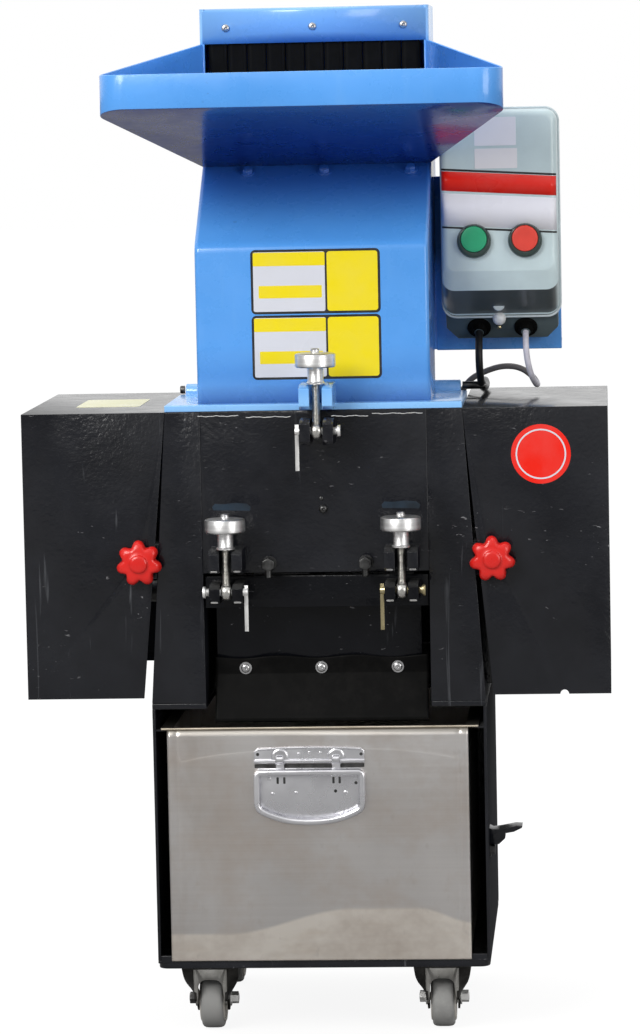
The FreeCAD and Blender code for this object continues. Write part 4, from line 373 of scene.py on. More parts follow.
def sheath_dust_and_shade():
    """Pale lead, clean where it leaves its gland, with patches of dust; behind the machine painted dark grey as
    shade.
    """
    f = Finish("grey_sheath", (0.6, 0.6, 0.68), 0.45, Specular_IOR_Level=0.3)
    # painted shade: the lead turns dark grey where it runs behind the machine
    dust = f.step(f.axes(f.place)["Y"], 0.066, 0.088, 1.0)
    dust = f.maths("MAXIMUM", dust, f.span(f.grain(120, 4, 0.6), 0.4, 0.7, 0, 0.4))
    return f.finished(f.blended(dust, (0.66, 0.65, 0.73), (0.17, 0.16, 0.16)), None,
                      (f.grain(350, 3), 0.1, 0.4))


def printed(name, colour, rough=0.3):
    """Vinyl film: flat colour a little faded in patches, on a skin that is not quite flat."""
    f = Finish(name, colour, rough, Specular_IOR_Level=0.3)
    faded = tuple(min(1.0, c * 0.93 + 0.03) for c in colour)
    return f.finished(
        f.blended(f.span(f.grain(30, 4, 0.6), 0.35, 0.7), colour, faded),
        f.span(f.grain(25), 0.3, 0.7, rough - 0.06, rough + 0.08),
        (f.grain(90), 0.15, 0.25))


SLOT_OF = {item["node"]: item["material_slot"] for item in frame["record"]["subparts"]}
FINISH = {
    "black_paint": black_enamel(),
    "blue_paint": blue_enamel(),
    "bright_sheet": drawer_steel(),
    "plated_steel": bare_steel("zinc_plate", (0.46, 0.46, 0.47), (0.66, 0.66, 0.665), 0.27),
    "turned_steel": lathe_steel(),
    "tool_steel": bare_steel("ground_steel", (0.3, 0.3, 0.31), (0.46, 0.46, 0.47), 0.3, 40),
    "dark_steel": bare_steel("oiled_iron", (0.07, 0.068, 0.066), (0.15, 0.148, 0.145), 0.42, 90, 0.2),
    "red_plastic": moulded("red_plastic", (0.66, 0.014, 0.01), 0.24, Specular_IOR_Level=0.5),
    "green_plastic": moulded("green_plastic", (0.03, 0.33, 0.16), 0.34, Specular_IOR_Level=0.3),
    # the grey plastic's undersides drop to 0.16 of its colour: painted shade
    "grey_plastic": moulded("grey_plastic", (0.56, 0.68, 0.71), 0.34, 380, 0.08, 0.06, 0.16,
                            Coat_Weight=0.35, Coat_Roughness=0.12),
    "dark_grey_plastic": moulded("dark_grey_plastic", (0.085, 0.115, 0.125), 0.42, 380, 0.08, 0.08),
    "black_rubber": rubber("black_rubber", (0.0045, 0.0045, 0.0045), 0.42, (0.012, 0.0115, 0.011), 0.04),
    "grey_rubber": rubber("grey_rubber", (0.3, 0.3, 0.295), 0.6, (0.42, 0.42, 0.41)),
    "motor_paint": moulded("motor_paint", (0.12, 0.19, 0.27), 0.4, 260, 0.15, 0.15),
    "grey_sheath": sheath_dust_and_shade(),
    "black_sheath": rubber("black_sheath", (0.012, 0.012, 0.013), 0.4, (0.035, 0.035, 0.035)),
}
SLOT = {name: name for name in FINISH}


def finishes(slot, make, **colours):
    """Further finishes of a slot, each from its name and what make takes besides."""
    for name, sizes in colours.items():
        FINISH[name], SLOT[name] = make(name, *sizes), slot


finishes("grey_plastic", printed, white_film=[(0.66, 0.68, 0.75)], cover_white=[(0.83, 0.83, 0.9)],
         pale_film=[(0.83, 0.81, 0.84)], yellow_film=[(0.86, 0.7, 0.007)], cream_film=[(0.74, 0.72, 0.44)])
finishes("black_rubber", printed, black_film=[(0.018, 0.018, 0.02)])
finishes("red_plastic", printed, red_film=[(0.84, 0.016, 0.006)])
finishes("plated_steel", bare_steel,
         brass_pin=[(0.42, 0.36, 0.2), (0.58, 0.5, 0.3), 0.3],
         pale_zinc=[(0.52, 0.51, 0.48), (0.72, 0.71, 0.68), 0.34, 80],
         polished_zinc=[(0.7, 0.7, 0.73), (0.83, 0.83, 0.86), 0.28, 14, 0.004],
         cotter_steel=[(0.84, 0.84, 0.83), (0.97, 0.97, 0.96), 0.5, 60, 0.03],
         # dark zinc for the fork's legs and crown: painted shade, against the pale zinc of its front wall
         leg_zinc=[(0.028, 0.027, 0.026), (0.07, 0.068, 0.065), 0.5, 90, 0.1])
finishes("dark_steel", bare_steel,
         dark_fastener=[(0.05, 0.05, 0.05), (0.14, 0.14, 0.14), 0.36, 120],
         bolt_steel=[(0.5, 0.49, 0.46), (0.72, 0.71, 0.68), 0.32, 200])
finishes("bright_sheet", bare_steel, rim_steel=[(0.5, 0.44, 0.34), (0.66, 0.6, 0.5), 0.45, 30, 0.03])
finishes("black_rubber", moulded, black_nylon=[(0.02, 0.02, 0.021), 0.38])
finishes("grey_plastic", moulded, pale_gasket=[(0.62, 0.7, 0.73), 0.35], white_knob=[(0.83, 0.85, 0.86), 0.3])
finishes("grey_rubber", moulded, hub_nylon=[(0.52, 0.5, 0.46), 0.42])
# colour of the painted reflection of the side nuts in the front plate
finishes("black_paint", moulded, worn_blue=[(0.008, 0.02, 0.036), 0.34, 60, 0.5, 0.9])
finishes("dark_grey_plastic", moulded, cap_ring=[(0.03, 0.05, 0.045), 0.3])
# a darker copy of the black enamel for the screen cradle: painted shade
finishes("black_paint", black_enamel, cradle_enamel=[0.5])
FINISH["stop_red"] = moulded("stop_red", (0.76, 0.07, 0.05), 0.3, Specular_IOR_Level=0.4)
SLOT["stop_red"] = "red_plastic"


# -------------------- surfaces

def link_piece(name, data, finish, body, stands_for=()):
    """Piece on its body and its finish's slot, or another one, in place of the CAD nodes that it
    stands for."""
    piece = stood(name, data)
    data.materials.append(FINISH[finish])
    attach(piece, body)
    if stands_for:
        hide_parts(*stands_for)
    return piece


def made(name, parts, finish, body="frame", crease=38, stands_for=()):
    """One piece from (points in mm, faces, turned-profile lengths or None) parts. Doubles are merged,
    faces turned outwards, and edges sharper than crease degrees stay sharp."""
    shell = bmesh.new()
    layer = shell.loops.layers.uv.new("turning")
    for points, faces, run in parts:
        spots = [shell.verts.new(p) for p in (np.asarray(points, float) * MM).tolist()]
        for corners in faces:
            if len(set(corners)) > 2:
                face = shell.faces.new([spots[k] for k in corners])
                if run is not None:
                    for loop, k in zip(face.loops, corners):
                        loop[layer].uv = (0.0, run[k] * MM)
    bmesh.ops.remove_doubles(shell, verts=shell.verts, dist=2e-6)
    bmesh.ops.recalc_face_normals(shell, faces=shell.faces)
    mesh = bpy.data.meshes.new(name)
    shell.to_mesh(mesh)
    shell.free()
    mesh.shade_smooth()
    mesh.set_sharp_from_angle(angle=math.radians(crease))
    return link_piece(name, mesh, finish, body, stands_for)


def walled(piece, thick, offset=0):
    """Sheet given its thickness: half on each side, or all behind it with offset -1."""
    wall = piece.modifiers.new("wall", "SOLIDIFY")
    wall.thickness, wall.offset = thick * MM, offset


def eased(piece, width, steps, angle):
    """Edges sharper than angle degrees rounded by width."""
    bevel = piece.modifiers.new("folds", "BEVEL")
    bevel.width, bevel.segments = width * MM, steps
    bevel.limit_method, bevel.angle_limit = "ANGLE", math.radians(angle)
    bevel.harden_normals = bevel.use_clamp_overlap = True


def softened(node, width, steps=2, body="frame", finish=None):
    """Copy of a CAD node with its flat facets joined and its corners rounded by width."""
    shell = bmesh.new()
    shell.from_mesh(frame["nodes"][node].data)
    bmesh.ops.remove_doubles(shell, verts=shell.verts, dist=1e-6)
    bmesh.ops.dissolve_limit(shell, angle_limit=math.radians(1.0), verts=shell.verts, edges=shell.edges)
    mesh = bpy.data.meshes.new(node + "_skin")
    shell.to_mesh(mesh)
    shell.free()
    mesh.shade_smooth()
    slot = SLOT_OF[node]
    eased(link_piece(node + "_skin", mesh, finish or slot, body, (node,)), width, steps, 32)


def grid(rows, columns, loop_rows=False, loop_columns=False):
    """Corners of the quads between rows x columns points, first line joined to the last where looped."""
    r = np.arange(rows if loop_rows else rows - 1)
    c = np.arange(columns if loop_columns else columns - 1)
    row, column = np.meshgrid(r, c, indexing="ij")
    below, beside = (row + 1) % rows, (column + 1) % columns
    corners = (row * columns + column, row * columns + beside,
               below * columns + beside, below * columns + column)
    return np.stack(corners, -1).reshape(-1, 4).tolist()


def surface(x, y, z, **loops):
    """Part of a made piece: the sheet through rows x columns of points."""
    points = np.stack(np.broadcast_arrays(x, y, z), -1)
    return points.reshape(-1, 3), grid(*points.shape[:2], **loops), None


def quarter(steps):
    """Angles of a quarter turn."""
    return np.linspace(0, math.pi / 2, steps)


def upright(flat, y):
    """Points (x, z) stood up at the depth y."""
    return np.insert(flat, 1, y, axis=1)


def circle(steps):
    """Cosines and sines round a full turn."""
    angle = np.linspace(0, 2 * math.pi, steps, endpoint=False)
    return np.cos(angle), np.sin(angle)


E = np.eye(3)
AXES = {"x": (E[1], E[2], E[0]), "y": (E[2], E[0], E[1]), "z": (E[0], E[1], E[2]),
        "-x": (E[2], E[1], -E[0]), "-y": (E[0], E[2], -E[1]), "-z": (E[1], E[0], -E[2])}


def frame_of(axis):
    """Unit vectors (u, v, w) of a named axis w, or of an axis given by its own three."""
    return AXES[axis] if isinstance(axis, str) else axis


def turned(profile, centre, axis="z", steps=48, ripple=None):
    """Turned surface: each (radius, height) of the profile goes once round the axis through centre.
    ripple(angle, share) may scale the radius by angle and by share of the profile's length."""
    profile = np.asarray(profile, float)
    u, v, w = frame_of(axis)
    angle = np.linspace(0, 2 * math.pi, steps, endpoint=False)
    radius, height = profile[:, :1], profile[:, 1:, None]
    length = np.concatenate([[0], np.cumsum(np.hypot(*np.diff(profile, axis=0).T))])
    scale = 1.0 if ripple is None else ripple(angle[None], (length / length[-1])[:, None])
    cos, sin = ((radius * scale * way)[..., None] for way in circle(steps))
    points = np.asarray(centre, float) + cos * u + sin * v + height * w
    return points.reshape(-1, 3), grid(len(profile), steps, loop_columns=True), np.repeat(length, steps)


def rounded(wide, high, radius, steps=6):
    """Outline of a rectangle with round corners about the middle, anticlockwise."""
    corners = []
    for k, (sx, sy) in enumerate(((1, -1), (1, 1), (-1, 1), (-1, -1))):
        a = quarter(steps) + (k - 1) * math.pi / 2
        corners.append(np.stack([sx * (wide / 2 - radius) + radius * np.cos(a),
                                 sy * (high / 2 - radius) + radius * np.sin(a)], 1))
    return np.concatenate(corners)


def disc(radius, steps):
    return radius * np.stack(circle(steps), 1)


def shrunk(outline, by):
    """The outline moved inwards by a distance, each corner along the mean of its two sides' normals."""
    ahead = np.roll(outline, -1, 0) - outline
    ahead /= np.linalg.norm(ahead, axis=1, keepdims=True)
    normal = np.stack([ahead[:, 1], -ahead[:, 0]], 1)
    mean = normal + np.roll(normal, 1, 0)
    mean /= (mean * mean).sum(1, keepdims=True) / 2
    return outline - by * mean


def capped(rows, count):
    """Quads between rows of count points, with a face over the first row and one over the last."""
    last = (rows - 1) * count
    return grid(rows, count, loop_columns=True) + [range(count)[::-1], range(last, last + count)]


def slab(outline, thick, centre, axis="z", edge=0.6, steps=3):
    """Flat plate of an outline standing on centre, its upper rim rounded by edge: the rim's rings go in
    by edge*(1-cos) and up by edge*sin over a quarter turn."""
    u, v, w = frame_of(axis)
    outline = np.asarray(outline, float)
    rings = [(outline, 0.0)]
    for turn in quarter(steps + 1):
        inward = edge * (1 - math.cos(turn))
        rings.append((shrunk(outline, inward), thick - edge + edge * math.sin(turn)))
    points = [np.asarray(centre, float) + flat[:, :1] * u + flat[:, 1:] * v + height * w
              for flat, height in rings]
    return np.concatenate(points), capped(len(rings), len(outline)), None


def carried(section, path, up=(0, 0, 1), closed=False):
    """Section (side, up) carried along a path: at each point the side is the path's direction crossed
    with up, and the section stands square to the path."""
    section, path = np.asarray(section, float), np.asarray(path, float)
    ahead = (np.roll(path, -1, 0) - np.roll(path, 1, 0)) if closed else np.gradient(path, axis=0)
    ahead /= np.linalg.norm(ahead, axis=1, keepdims=True)
    side = np.cross(ahead, np.asarray(up, float))
    side /= np.linalg.norm(side, axis=1, keepdims=True)
    rise = np.cross(side, ahead)
    points = path[:, None] + section[None, :, :1] * side[:, None] + section[None, :, 1:] * rise[:, None]
    rows, count = points.shape[:2]
    faces = grid(rows, count, loop_rows=True, loop_columns=True) if closed else capped(rows, count)
    return points.reshape(-1, 3), faces, None


def smooth_line(points, steps):
    """Catmull-Rom curve through points, steps pieces between two of them."""
    p = np.asarray(points, float)
    q = np.vstack([2 * p[0] - p[1], p, 2 * p[-1] - p[-2]])
    t = np.linspace(0, 1, steps, endpoint=False)[None, :, None]
    b, h, a, y = (k[:, None] for k in (q[:-3], q[1:-2], q[2:-1], q[3:]))
    line = 0.5 * (2 * h + (a - b) * t + (2 * b - 5 * h + 4 * a - y) * t ** 2
                  + (3 * h - b - 3 * a + y) * t ** 3)
    return np.vstack([line.reshape(-1, p.shape[1]), p[-1:]])


def edges(node):
    """Lowest and highest corner of a CAD node in millimetres."""
    low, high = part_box(node)
    return np.array(low) / MM, np.array(high) / MM


def centre_of(node):
    return sum(edges(node)) / 2


def each(places, shape, *sizes):
    """Parts of one shape at each of several places."""
    return [part for place in places for part in shape(place, *sizes)]


def ring_of(radius_in, radius_out, low, high, ease):
    """Profile of a ring with eased corners, for a turned surface."""
    return [(radius_in, low), (radius_out - ease, low), (radius_out, low + ease), (radius_out, high - ease),
            (radius_out - ease, high), (radius_in, high)]


def hexagon(across):
    a = np.arange(6) * math.pi / 3 + math.pi / 6
    return across / math.sqrt(3) * np.stack([np.cos(a), np.sin(a)], 1)


def hex_head(centre, axis, across, high, washer=0.0):
    """Bolt head with an eased rim on a round washer."""
    w, foot = frame_of(axis)[2], np.asarray(centre, float)
    mark = [(0, 0), (across * 0.36, 0), (across * 0.34, 0.25), (0, 0.25)]
    parts = [slab(hexagon(across), high, foot + washer * w, axis, edge=across * 0.07),
             turned(mark, foot + (washer + high) * w, axis, 24)]
    if washer:
        parts.append(turned(ring_of(0, across * 0.78, 0, washer, 0.3), foot, axis, 32))
    return parts


def pan_head(centre, axis, radius, high):
    """Round screw head: a low dome with a driver's dimple in its middle."""
    t = quarter(7)
    dome = np.stack([radius * np.cos(t), high * (0.25 + 0.75 * np.sin(t))], 1)
    dome = dome[dome[:, 0] > radius * 0.32]
    dimple = [(radius * 0.3, high * 0.93), (radius * 0.2, high * 0.45), (0, high * 0.4)]
    return [turned(np.vstack([[(0, 0), (radius, 0)], dome, dimple]), centre, axis, 24)]


# -------------------- leads

def lead(name, node, slot, diameter, route):
    """Round lead: one NURBS curve whose control points are the route's, in metres."""
    curve = bpy.data.curves.new(name, "CURVE")
    curve.dimensions = "3D"
    spline = curve.splines.new("NURBS")
    spline.points.add(len(route) - 1)
    for spot, place in zip(spline.points, route):
        spot.co = (*place, 1)
    spline.order_u = 3
    spline.use_endpoint_u = True
    curve.resolution_u = 8
    curve.bevel_depth = diameter / 2
    curve.bevel_resolution = 6
    curve.use_fill_caps = True
    piece = link_piece(name, curve, slot, "frame", (node,))


lead("black_lead_run", "black_lead", "black_sheath", 0.008, [
    (0.1690, 0.0488, 0.7326), (0.1690, 0.0368, 0.7236), (0.1690, 0.0303, 0.7059),
    (0.1695, 0.0359, 0.6889), (0.1705, 0.0519, 0.6774), (0.1720, 0.0789, 0.6719),
    (0.1730, 0.1149, 0.6699), (0.1730, 0.1539, 0.6714), (0.1700, 0.1919, 0.6744),
    (0.1640, 0.2119, 0.6579), (0.1570, 0.2189, 0.6329), (0.1450, 0.2099, 0.6059),
    (0.1280, 0.1859, 0.5799), (0.1090, 0.1539, 0.5589), (0.0840, 0.1490, 0.5460),
    (0.0580, 0.1490, 0.5460)])
lead("grey_lead_run", "grey_lead", "grey_sheath", 0.0065, [
    (0.2190, 0.0488, 0.7326), (0.2190, 0.0368, 0.7236), (0.2200, 0.0314, 0.7059),
    (0.2240, 0.0349, 0.6879), (0.2290, 0.0499, 0.6764), (0.2310, 0.0709, 0.6744),
    (0.2260, 0.0889, 0.6819), (0.2120, 0.0969, 0.6919), (0.1930, 0.0989, 0.6939),
    (0.1740, 0.0994, 0.6884), (0.1550, 0.1009, 0.6789), (0.1440, 0.1059, 0.6589),
    (0.1385, 0.1139, 0.6309), (0.1310, 0.1259, 0.6009), (0.1110, 0.1399, 0.5709),
    (0.0840, 0.1260, 0.5460), (0.0580, 0.1260, 0.5460)])


# -------------------- sheet and plate work

for node, width in (
    ("cabinet_floor", 0.8), ("cabinet_left", 0.7), ("cabinet_right", 0.7), ("cabinet_back", 0.7),
    ("cabinet_top", 0.8), ("left_cheek", 1.2), ("right_cheek", 1.2), ("front_plate", 1.0),
    ("rear_plate", 1.0), ("left_guard", 0.9), ("right_guard", 0.9),
):
    softened(node, width)
# the cradle in the darker enamel copy: painted shade
softened("screen_cradle", 0.8, finish="cradle_enamel")
for node, width in (("hopper_flange", 1.5), ("feed_tray", 1.3), ("starter_plate", 0.8)):
    softened(node, width, 3)


# -------------------- hopper

HOPPER_HALF, HOPPER_WALL = 122.0, 3.0
CREASE_Z, JOINT_Z, HOPPER_TOP_Z, FLANGE_Z = 835.0, 916.0, 1083.0, 671.0
FRONT_FACE_Y, MOUTH_Y, BACK_LOW_Y, BACK_HIGH_Y = -101.0, 15.0, 29.0, 135.0
BACK_BENDS = (740.0, 860.0)
HOOD_HALF, HOOD_LOW_Z, HOOD_BACK_Y, HOOD_FOLD, HOOD_WALL = 118.8, 1046.0, 132.0, 4.0, 2.8
CURTAIN_Y, CURTAIN_WALL = 19.8, 2.6
JOINT_BOLTS_X = (-72.5, 9.0, 100.5)
BAND_SCREWS_X, BAND_SCREWS_Z = (-94.0, -1.5, 95.0), 1062.5


def eased_ramp(z, bend, softness=2.2):
    """0 below a bend and z - bend above it, with the corner rounded."""
    return softness * np.logaddexp(0, (z - bend) / softness)


def hopper_ring(z, corner=5.0, **loops):
    """Hopper between heights z: level rectangles with round corners, each from the front's left end
    round the back to its right end. The front leans back above the crease, the back between two bends."""
    z = z[:, None]
    front = FRONT_FACE_Y + (MOUTH_Y - FRONT_FACE_Y) / (JOINT_Z - CREASE_Z) * eased_ramp(z, CREASE_Z)
    front = np.minimum(front, MOUTH_Y)
    lean = (BACK_HIGH_Y - BACK_LOW_Y) / (BACK_BENDS[1] - BACK_BENDS[0])
    back = BACK_LOW_Y + lean * (eased_ramp(z, BACK_BENDS[0]) - eased_ramp(z, BACK_BENDS[1]))
    x, y = [], []
    for side, edge, inward, first in ((-1, front, 1, -math.pi / 2), (-1, back, -1, math.pi),
                                      (1, back, -1, math.pi / 2), (1, front, 1, 0.0)):
        a = first - quarter(6)
        x.append(side * (HOPPER_HALF - corner) + corner * np.cos(a))
        y.append(edge + inward * corner + corner * np.sin(a))
    return surface(np.concatenate(x), np.concatenate(y, 1), z, **loops)


def make_hopper():
    """Folded hopper: closed rings up to the mouth's lower edge, then rings open at the front; the hood
    folded over its top, and the bolts and screws of both."""
    near = np.linspace(-8, 8, 9)
    low = np.unique(np.concatenate([[FLANGE_Z, JOINT_Z]] + [bend + near for bend in (CREASE_Z, *BACK_BENDS)]))
    high = np.array([JOINT_Z, 1000.0, HOPPER_TOP_Z])
    walled(made("hopper_shell", [hopper_ring(low, loop_columns=True), hopper_ring(high)], "blue_paint",
                crease=50, stands_for=("hopper_front", "hopper_back", "hopper_left", "hopper_right")),
           HOPPER_WALL, -1)
    turn = quarter(6)
    y = np.concatenate([[MOUTH_Y], MOUTH_Y + HOOD_FOLD * (1 - np.cos(turn)), [HOOD_BACK_Y]])
    z = np.concatenate([[HOOD_LOW_Z], HOPPER_TOP_Z - HOOD_FOLD * (1 - np.sin(turn)), [HOPPER_TOP_Z]])
    walled(made("hopper_hood", [surface((-HOOD_HALF, HOOD_HALF), y[:, None], z[:, None])], "blue_paint",
                crease=50, stands_for=("mouth_band", "hopper_lid")), HOOD_WALL, -1)
    slope = np.array([0, -(JOINT_Z - CREASE_Z), MOUTH_Y - FRONT_FACE_Y])
    slope /= np.linalg.norm(slope)
    tilted = (E[0], np.cross(slope, E[0]), slope)
    places = [(x, MOUTH_Y - 10, JOINT_Z - 7) for x in JOINT_BOLTS_X]
    made("joint_bolts", each(places, hex_head, tilted, 10, 4.5, 1.2), "blue_paint")
    places = [(x, MOUTH_Y, BAND_SCREWS_Z) for x in BAND_SCREWS_X]
    made("band_screws", each(places, pan_head, "-y", 4.2, 2.4), "plated_steel")


def make_curtain(strips=11, wide=226.0, top=1054.0, low=925.0, gap=0.4):
    """Rubber curtain: strips side by side, each hanging to its own length and curling a little
    backwards, by a share of its height squared."""
    draw = np.random.default_rng(5)
    pitch = wide / strips
    down, over = np.linspace(0, 1, 14)[:, None], np.linspace(0, 1, 5)
    parts = []
    for k in range(strips):
        foot = low + draw.uniform(0.0, 5.0)
        curl, twist = draw.uniform(0.3, 2.4), draw.uniform(-1.2, 1.2)
        x = k * pitch - wide / 2 + gap + (pitch - 2 * gap) * over
        y = CURTAIN_Y + (curl + twist * (over - 0.5)) * down ** 2
        parts.append(surface(x, y, top + (foot - top) * down))
    curtain = made("curtain_strips", parts, "black_rubber", "mouth_curtain", stands_for=("curtain",))
    walled(curtain, CURTAIN_WALL)


make_hopper()
make_curtain()


# -------------------- clamps, knobs and bolts

PLATE_BOLTS_X, PLATE_BOLTS_Z = (-48.6, 52.6), 505.0
APRON_SCREWS_X, APRON_SCREWS_Y, APRON_SCREWS_Z, APRON_WASHER = (-78.0, 2.0, 82.3), -94.2, 391.5, 1.0
EYE_HIGH = 8.5


def make_nut(node, body):
    """Turned thumb nut: a thick disc on a collar with a washer ring below it."""
    low, high = edges(node)
    tall, radius = high[2] - low[2], (high[0] - low[0]) / 2
    profile = [
        (4.0, 0), (8.8, 0), (9.6, 0.5), (9.6, 1.8), (8.8, 2.4), (8.2, 3.6), (8.3, 16.4), (9.6, 17.7),
        (radius - 1.3, 17.7), (radius, 19.0), (radius, 30.6), (radius - 0.4, 31.4), (radius - 1.6, 32.0),
        (radius - 3.4, 32.4), (10.5, 33.0), (9.7, 32.7), (9.0, 33.0), (5.4, 33.3), (4.6, 33.3),
        (4.5, tall - 0.8), (3.7, tall), (0, tall)]
    made(node + "_turned", [turned(profile, (*centre_of(node)[:2], low[2]), "z", 72)], "turned_steel", body,
         stands_for=(node,))


def make_star_knob(node, thick=14.0, points=7):
    """Star knob: a turned profile whose outer part waves round the axis, with a raised cap."""
    low, high = edges(node)
    x, _, z = centre_of(node)
    reach = (high[0] - low[0]) / 2

    def lobes(angle, share):
        strength = np.clip((share - 0.22) / 0.2, 0, 1) * np.clip((0.93 - share) / 0.1, 0, 1)
        wave = points * (angle + 0.2)
        return 1 + strength * (0.125 * np.cos(wave) - 0.02 * np.cos(2 * wave) - 0.1)

    profile = [(0, 22), (6.0, 21.8), (8.6, 21.2), (9.4, 20.2), (9.6, 19.0), (11.0, 18.4), (14.0, 18.2),
               (18.0, 17.6), (21.0, 16.2), (reach - 1.2, 14.0), (reach - 0.2, 11.5), (reach, 9.0),
               (reach - 0.4, 6.4), (reach - 1.8, 4.4), (18.0, 3.6), (11.5, 3.4), (9.0, 3.0), (8.4, 0), (0, 0)]
    made(node + "_star", [turned(profile, (x, high[1] - thick, z), "-y", 112, lobes)], "red_plastic",
         crease=50, stands_for=(node,))


def make_front_bolts():
    """Fasteners on the body's front: two long hex bolts, one small screw, three apron screws."""
    heads = []
    for x in PLATE_BOLTS_X:
        foot = np.array([x, BODY_FRONT_Y, PLATE_BOLTS_Z])
        for radius, low, high, ease, steps in ((7.6, 0, 1.6, 0.3, 32), (6.6, 1.6, 4.0, 0.4, 32),
                                               (4.0, 4.0, 15.0, 0.3, 24)):
            heads.append(turned(ring_of(0, radius, low, high, ease), foot, "-y", steps))
        heads += hex_head(foot + (0, -12.0, 0), "-y", 12.5, 7.0)
        pin = [(0, 0), (2.6, 0), (3.4, 0.8), (3.4, 9.0), (0, 9.0)]
        heads.append(turned(pin, foot + (0, -14.5, -14.0), "z", 20))
    made("plate_bolts", heads, "dark_fastener")
    screws = pan_head((9.0, BODY_FRONT_Y, 561.0), "-y", 4.6, 5.0)
    screws += pan_head((7.0, BODY_FRONT_Y, 572.0), "-y", 2.2, 1.5)
    made("plate_screw", screws, "dark_fastener")
    heads = []
    for x in APRON_SCREWS_X:
        foot = np.array([x, APRON_SCREWS_Y, APRON_SCREWS_Z])
        heads.append(turned(ring_of(0, 6.6, 0, APRON_WASHER, 0.25), foot, "-y", 32))
        heads += pan_head(foot - (0, APRON_WASHER, 0), "-y", 4.8, 3.0)
    made("apron_screws", heads, "plated_steel")


for side in ("left", "right", "top"):
    make_nut(side + "_nut", side + "_swing_bolt")
make_star_knob("left_knob")
make_star_knob("right_knob")
make_front_bolts()


# -------------------- drawer handle

def make_handle(middle=-11.0, back=-121.9, bail_y=-128.0):
    """Chest handle: pressed strip with rolled edges, two loops and their bosses, a bowed plate with slots and
    dots behind the bail, and the bail, a rounded section carried round its closed line. A dark strip under
    the pressed strip and dark fins beside each loop are painted shadow."""
    loops_x = (-30.7, 28.2)

    def at(x, z, out=0.0):
        return middle + x, back - out, z

    def pressing(outline, thick, place, edge, steps=3):
        return slab(outline, thick, place, "-y", edge, steps)

    bow = np.linspace(0, 1, 24)
    plate = np.vstack([[(54, 52.5), (-54, 52.5)],
                       np.stack([-52 + 104 * bow, 8 - 12 * np.sin(math.pi * bow)], 1)])
    strip = [(-56, -8.5), (56, -8.5), (58, -6), (58, 4), (54, 7.6), (30, 8.8), (0, 9.4), (-30, 8.8),
             (-54, 7.6), (-58, 4), (-58, -6)]
    parts = [pressing(plate, 1.2, at(0, 236.5), 0.5), pressing(strip, 2.2, at(0, 303.0), 1.0)]
    for reach, z, bend, section in ((53.5, 309.0, 1.8, rounded(2.4, 2.6, 1.1, 4)),
                                    (58, 296.6, 0.0, rounded(4.2, 4.6, 1.9, 5))):
        path = [at(reach * s, z + bend * (1 - s * s), 2.6) for s in np.linspace(-1, 1, 25)]
        parts.append(carried(section, path))
    boss = [(9.6, 0), (9.3, 0.5), (8.2, 1.5), (6.5, 1.9), (0, 1.9)]
    knuckle = [(0, 0), (3.4, 0), (4.5, 1.2), (4.5, 7.4), (3.4, 8.6), (0, 8.6)]
    for x in loops_x:
        parts += [turned(boss, at(x, 301.2, 2.0), "-y", 36),
                  turned(knuckle, at(x - 4.3, 298.9, 4.4), "x", 32),
                  pressing(rounded(8.6, 13.0, 2.0), 1.5, at(x, 293.5, 2.0), 0.6)]
    for x, z, radius, out in ((-42.5, 278, 2.2, 1.1), (-39.0, 262.0, 2.0, 1.1), (-14.5, 263.0, 1.9, 1.1),
                              (37.5, 262.5, 2.4, 1.1), (-11.0, 304.3, 1.7, 2.1), (0.0, 305.6, 1.7, 2.1),
                              (11.6, 305.2, 1.7, 2.1)):
        dot = [(radius, 0), (radius * 0.8, 0.35), (radius * 0.5, 0.55), (0, 0.6)]
        parts.append(turned(dot, at(x, z, out), "-y", 20))
    made("handle_pressing", parts, "polished_zinc", "drawer", stands_for=("handle_plate",))
    # dark strip under the pressed strip: painted shadow of the gap above the bail
    dark = [pressing(rounded(115, 3.6, 0.6), 1.6, at(0, 291.4), 0.2, 1)]
    dark += [pressing(rounded(2.4, 7.0, 0.8), 0.3, at(x, 276.0, 1.2), 0.1, 1)
             for x in (-33.6, -26.6, 25.0, 31.5)]
    for x, z, out in ((27.0, 264.5, 1.2), (48.5, 273.0, 1.2), (-54.0, 304.0, 2.2), (54.5, 303.5, 2.2)):
        dark.append(pressing(disc(1.7, 20), 0.3, at(x, z, out), 0.1, 1))
    # dark fins beside each loop: painted shadow
    dark += [pressing(rounded(1.3, 8.4, 0.5), 1.8, at(x + way, 298.8, 2.0), 0.2, 1)
             for x in loops_x for way in (-5.0, 5.0)]
    made("handle_shadows_and_slots", dark, "dark_fastener", "drawer")
    half = np.array([(55.4, 280), (55.4, 262), (54.8, 250), (49.0, 243.2), (27.0, 235.2), (0, 232.6)])
    drop = np.vstack([half * (-1, 1), half[-2::-1]])
    line = np.vstack([smooth_line(drop, 6), [(54.6, 283.4), (52.0, 285.0), (26, 285.0), (0, 285.0),
                                             (-26, 285.0), (-52.0, 285.0), (-54.6, 283.4)]])
    path = upright(line + (middle, 0), bail_y)
    made("handle_bail_bar", [carried(rounded(6.8, 6.6, 2.7, 5), path, (0, 1, 0), True)], "polished_zinc",
         "bail", stands_for=("handle_bail",))


make_handle()


# -------------------- films and labels

def film(name, outline, centre, axis, finish, thick=0.25):
    made(name, [slab(outline, thick, centre, axis, 0.1, 1)], finish)


